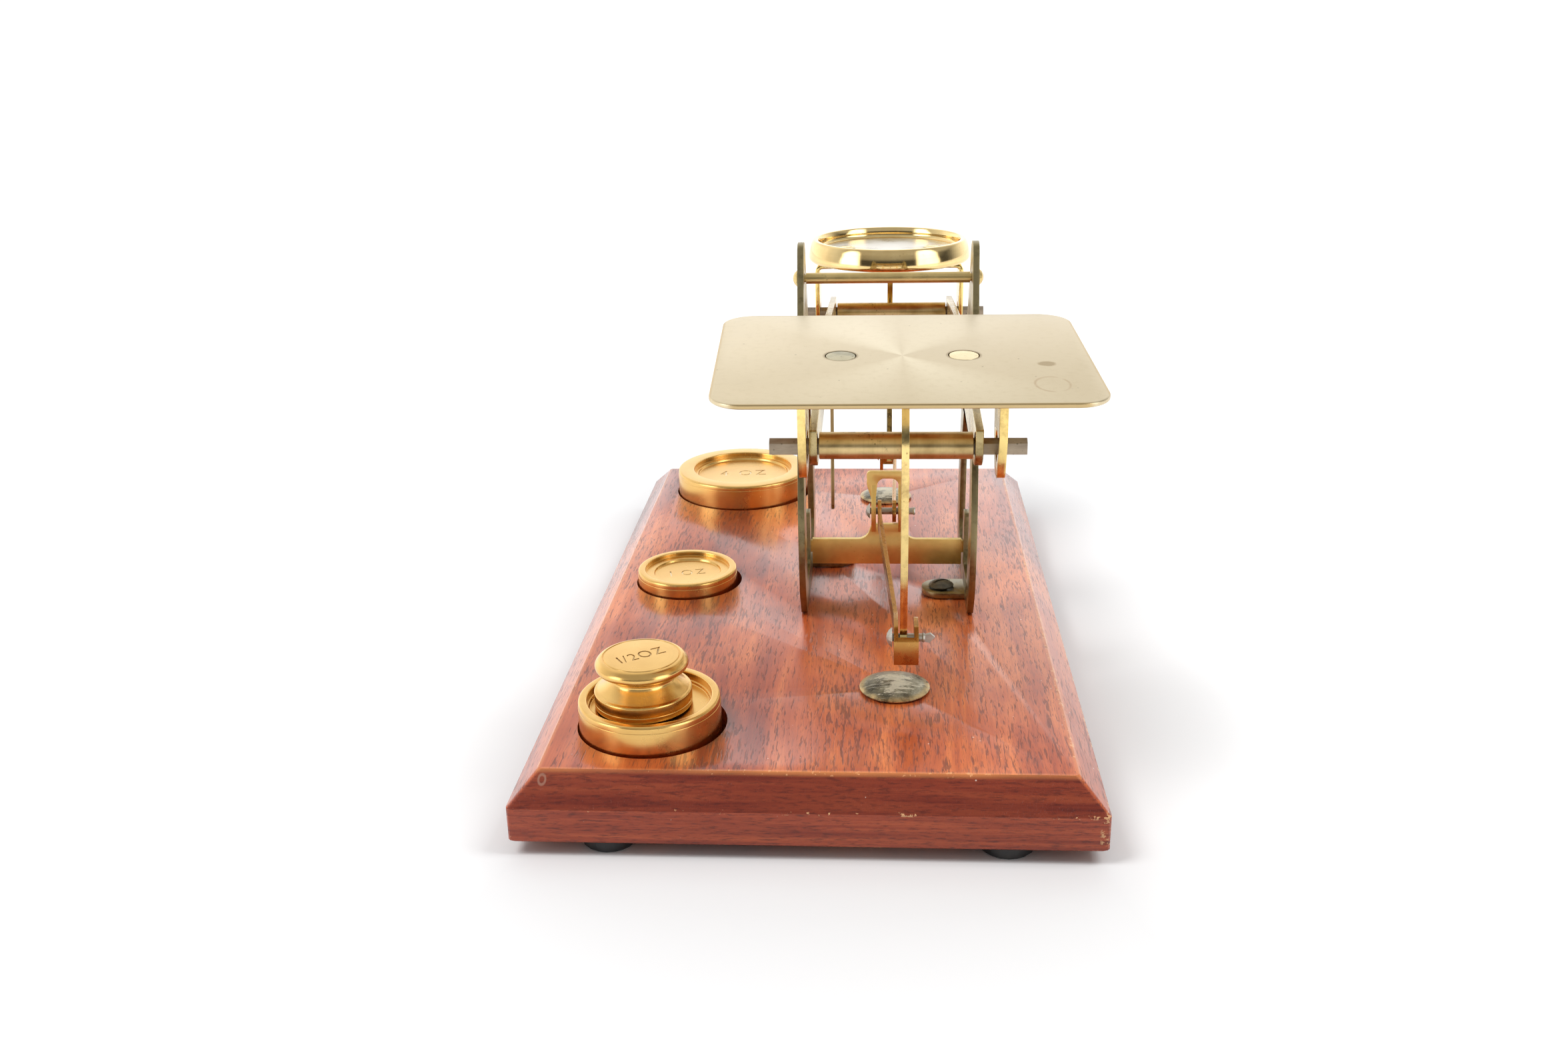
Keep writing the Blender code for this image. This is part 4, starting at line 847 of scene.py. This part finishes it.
def add_light(name, place, power):
    """A soft box that lights the object from above and isn't mirrored in it."""
    data = bpy.data.lights.new(name, "AREA")
    data.shape = "RECTANGLE"
    data.size, data.size_y = 0.35, 0.5
    data.energy = power
    light = link(name, data)
    light.location = place
    light.rotation_euler = (LIT_POINT - Vector(place)).to_track_quat("-Z", "Y").to_euler()
    light.visible_glossy = False


def make_studio():
    """A white room: bright behind and above, darker on the side the viewer stands on."""
    world = bpy.data.worlds.new("studio")
    bpy.context.scene.world = world
    world.use_nodes = True
    room = Nodes(world.node_tree, "Generated")
    x, y, z = (room.axis(i) for i in range(3))
    rays = room.node("ShaderNodeLightPath").outputs
    front = room.span(room.math("MULTIPLY_ADD", x, -0.45, y), -0.45, 0.70, 0.07, 1.0)
    above = room.span(z, 0.20, 0.42, 0.0, 0.45)
    bright = room.math("MAXIMUM", room.math("MAXIMUM", front, above), rays["Is Camera Ray"])

    # The wall behind is brightest near the floor, which shows only as a sheen on the varnish and brass.
    sheen = room.math("MULTIPLY", room.span(z, 0.46, 0.24, 0.0, 0.42), room.span(y, 0.15, 0.65))
    bright = room.math("MULTIPLY_ADD", sheen, rays["Is Glossy Ray"], bright)

    # The two tall soft boxes that the brass mirrors: direction, cosines at the edge and core, power.
    upright = room.node("ShaderNodeVectorMath", {0: room.place, 1: (1.0, 1.0, 0.35)}, operation="MULTIPLY")
    unit = room.node("ShaderNodeVectorMath", {0: upright.outputs[0]}, operation="NORMALIZE").outputs[0]
    for towards, edge, core, power in (((-0.85, -0.53, 0.0), 0.952, 0.985, 3.0),
                                       ((0.84, -0.54, 0.0), 0.93, 0.975, 2.6)):
        near = room.node("ShaderNodeVectorMath", {0: unit, 1: towards}, operation="DOT_PRODUCT")
        box = room.span(near.outputs["Value"], edge, core, 0.0, power, "SMOOTHSTEP")
        bright = room.math("MULTIPLY_ADD", box, rays["Is Glossy Ray"], bright)
    background = room.tree.nodes["Background"].inputs
    room.tree.links.new(room.math("MULTIPLY", bright, 1.12), background["Strength"])
    background["Color"].default_value = WHITE

    add_light("left_box", (-0.55, -0.30, 0.95), 7.0)
    add_light("right_box", (0.62, -0.10, 0.90), 5.5)


def make_camera():
    """Yaw turns the view about Z from +Y, pitch tips it down and roll turns the picture."""
    yaw, pitch, roll = (math.radians(a) for a in CAMERA_TURN)
    forward = Vector((math.sin(yaw) * math.cos(pitch), math.cos(yaw) * math.cos(pitch), -math.sin(pitch)))
    level = Vector((math.cos(yaw), -math.sin(yaw), 0))
    down = forward.cross(level)
    right = level * math.cos(roll) + down * math.sin(roll)
    down = down * math.cos(roll) - level * math.sin(roll)
    data = bpy.data.cameras.new("camera")
    data.sensor_width = 36.0
    data.lens = CAMERA_LENS
    data.clip_start = 0.01
    camera = link("camera", data)
    pose = Matrix((right, -down, -forward)).transposed().to_4x4()
    pose.translation = CAMERA_PLACE
    camera.matrix_world = pose
    bpy.context.scene.camera = camera


make_floor()
make_studio()
make_camera()
bpy.context.scene.view_settings.view_transform = "Standard"
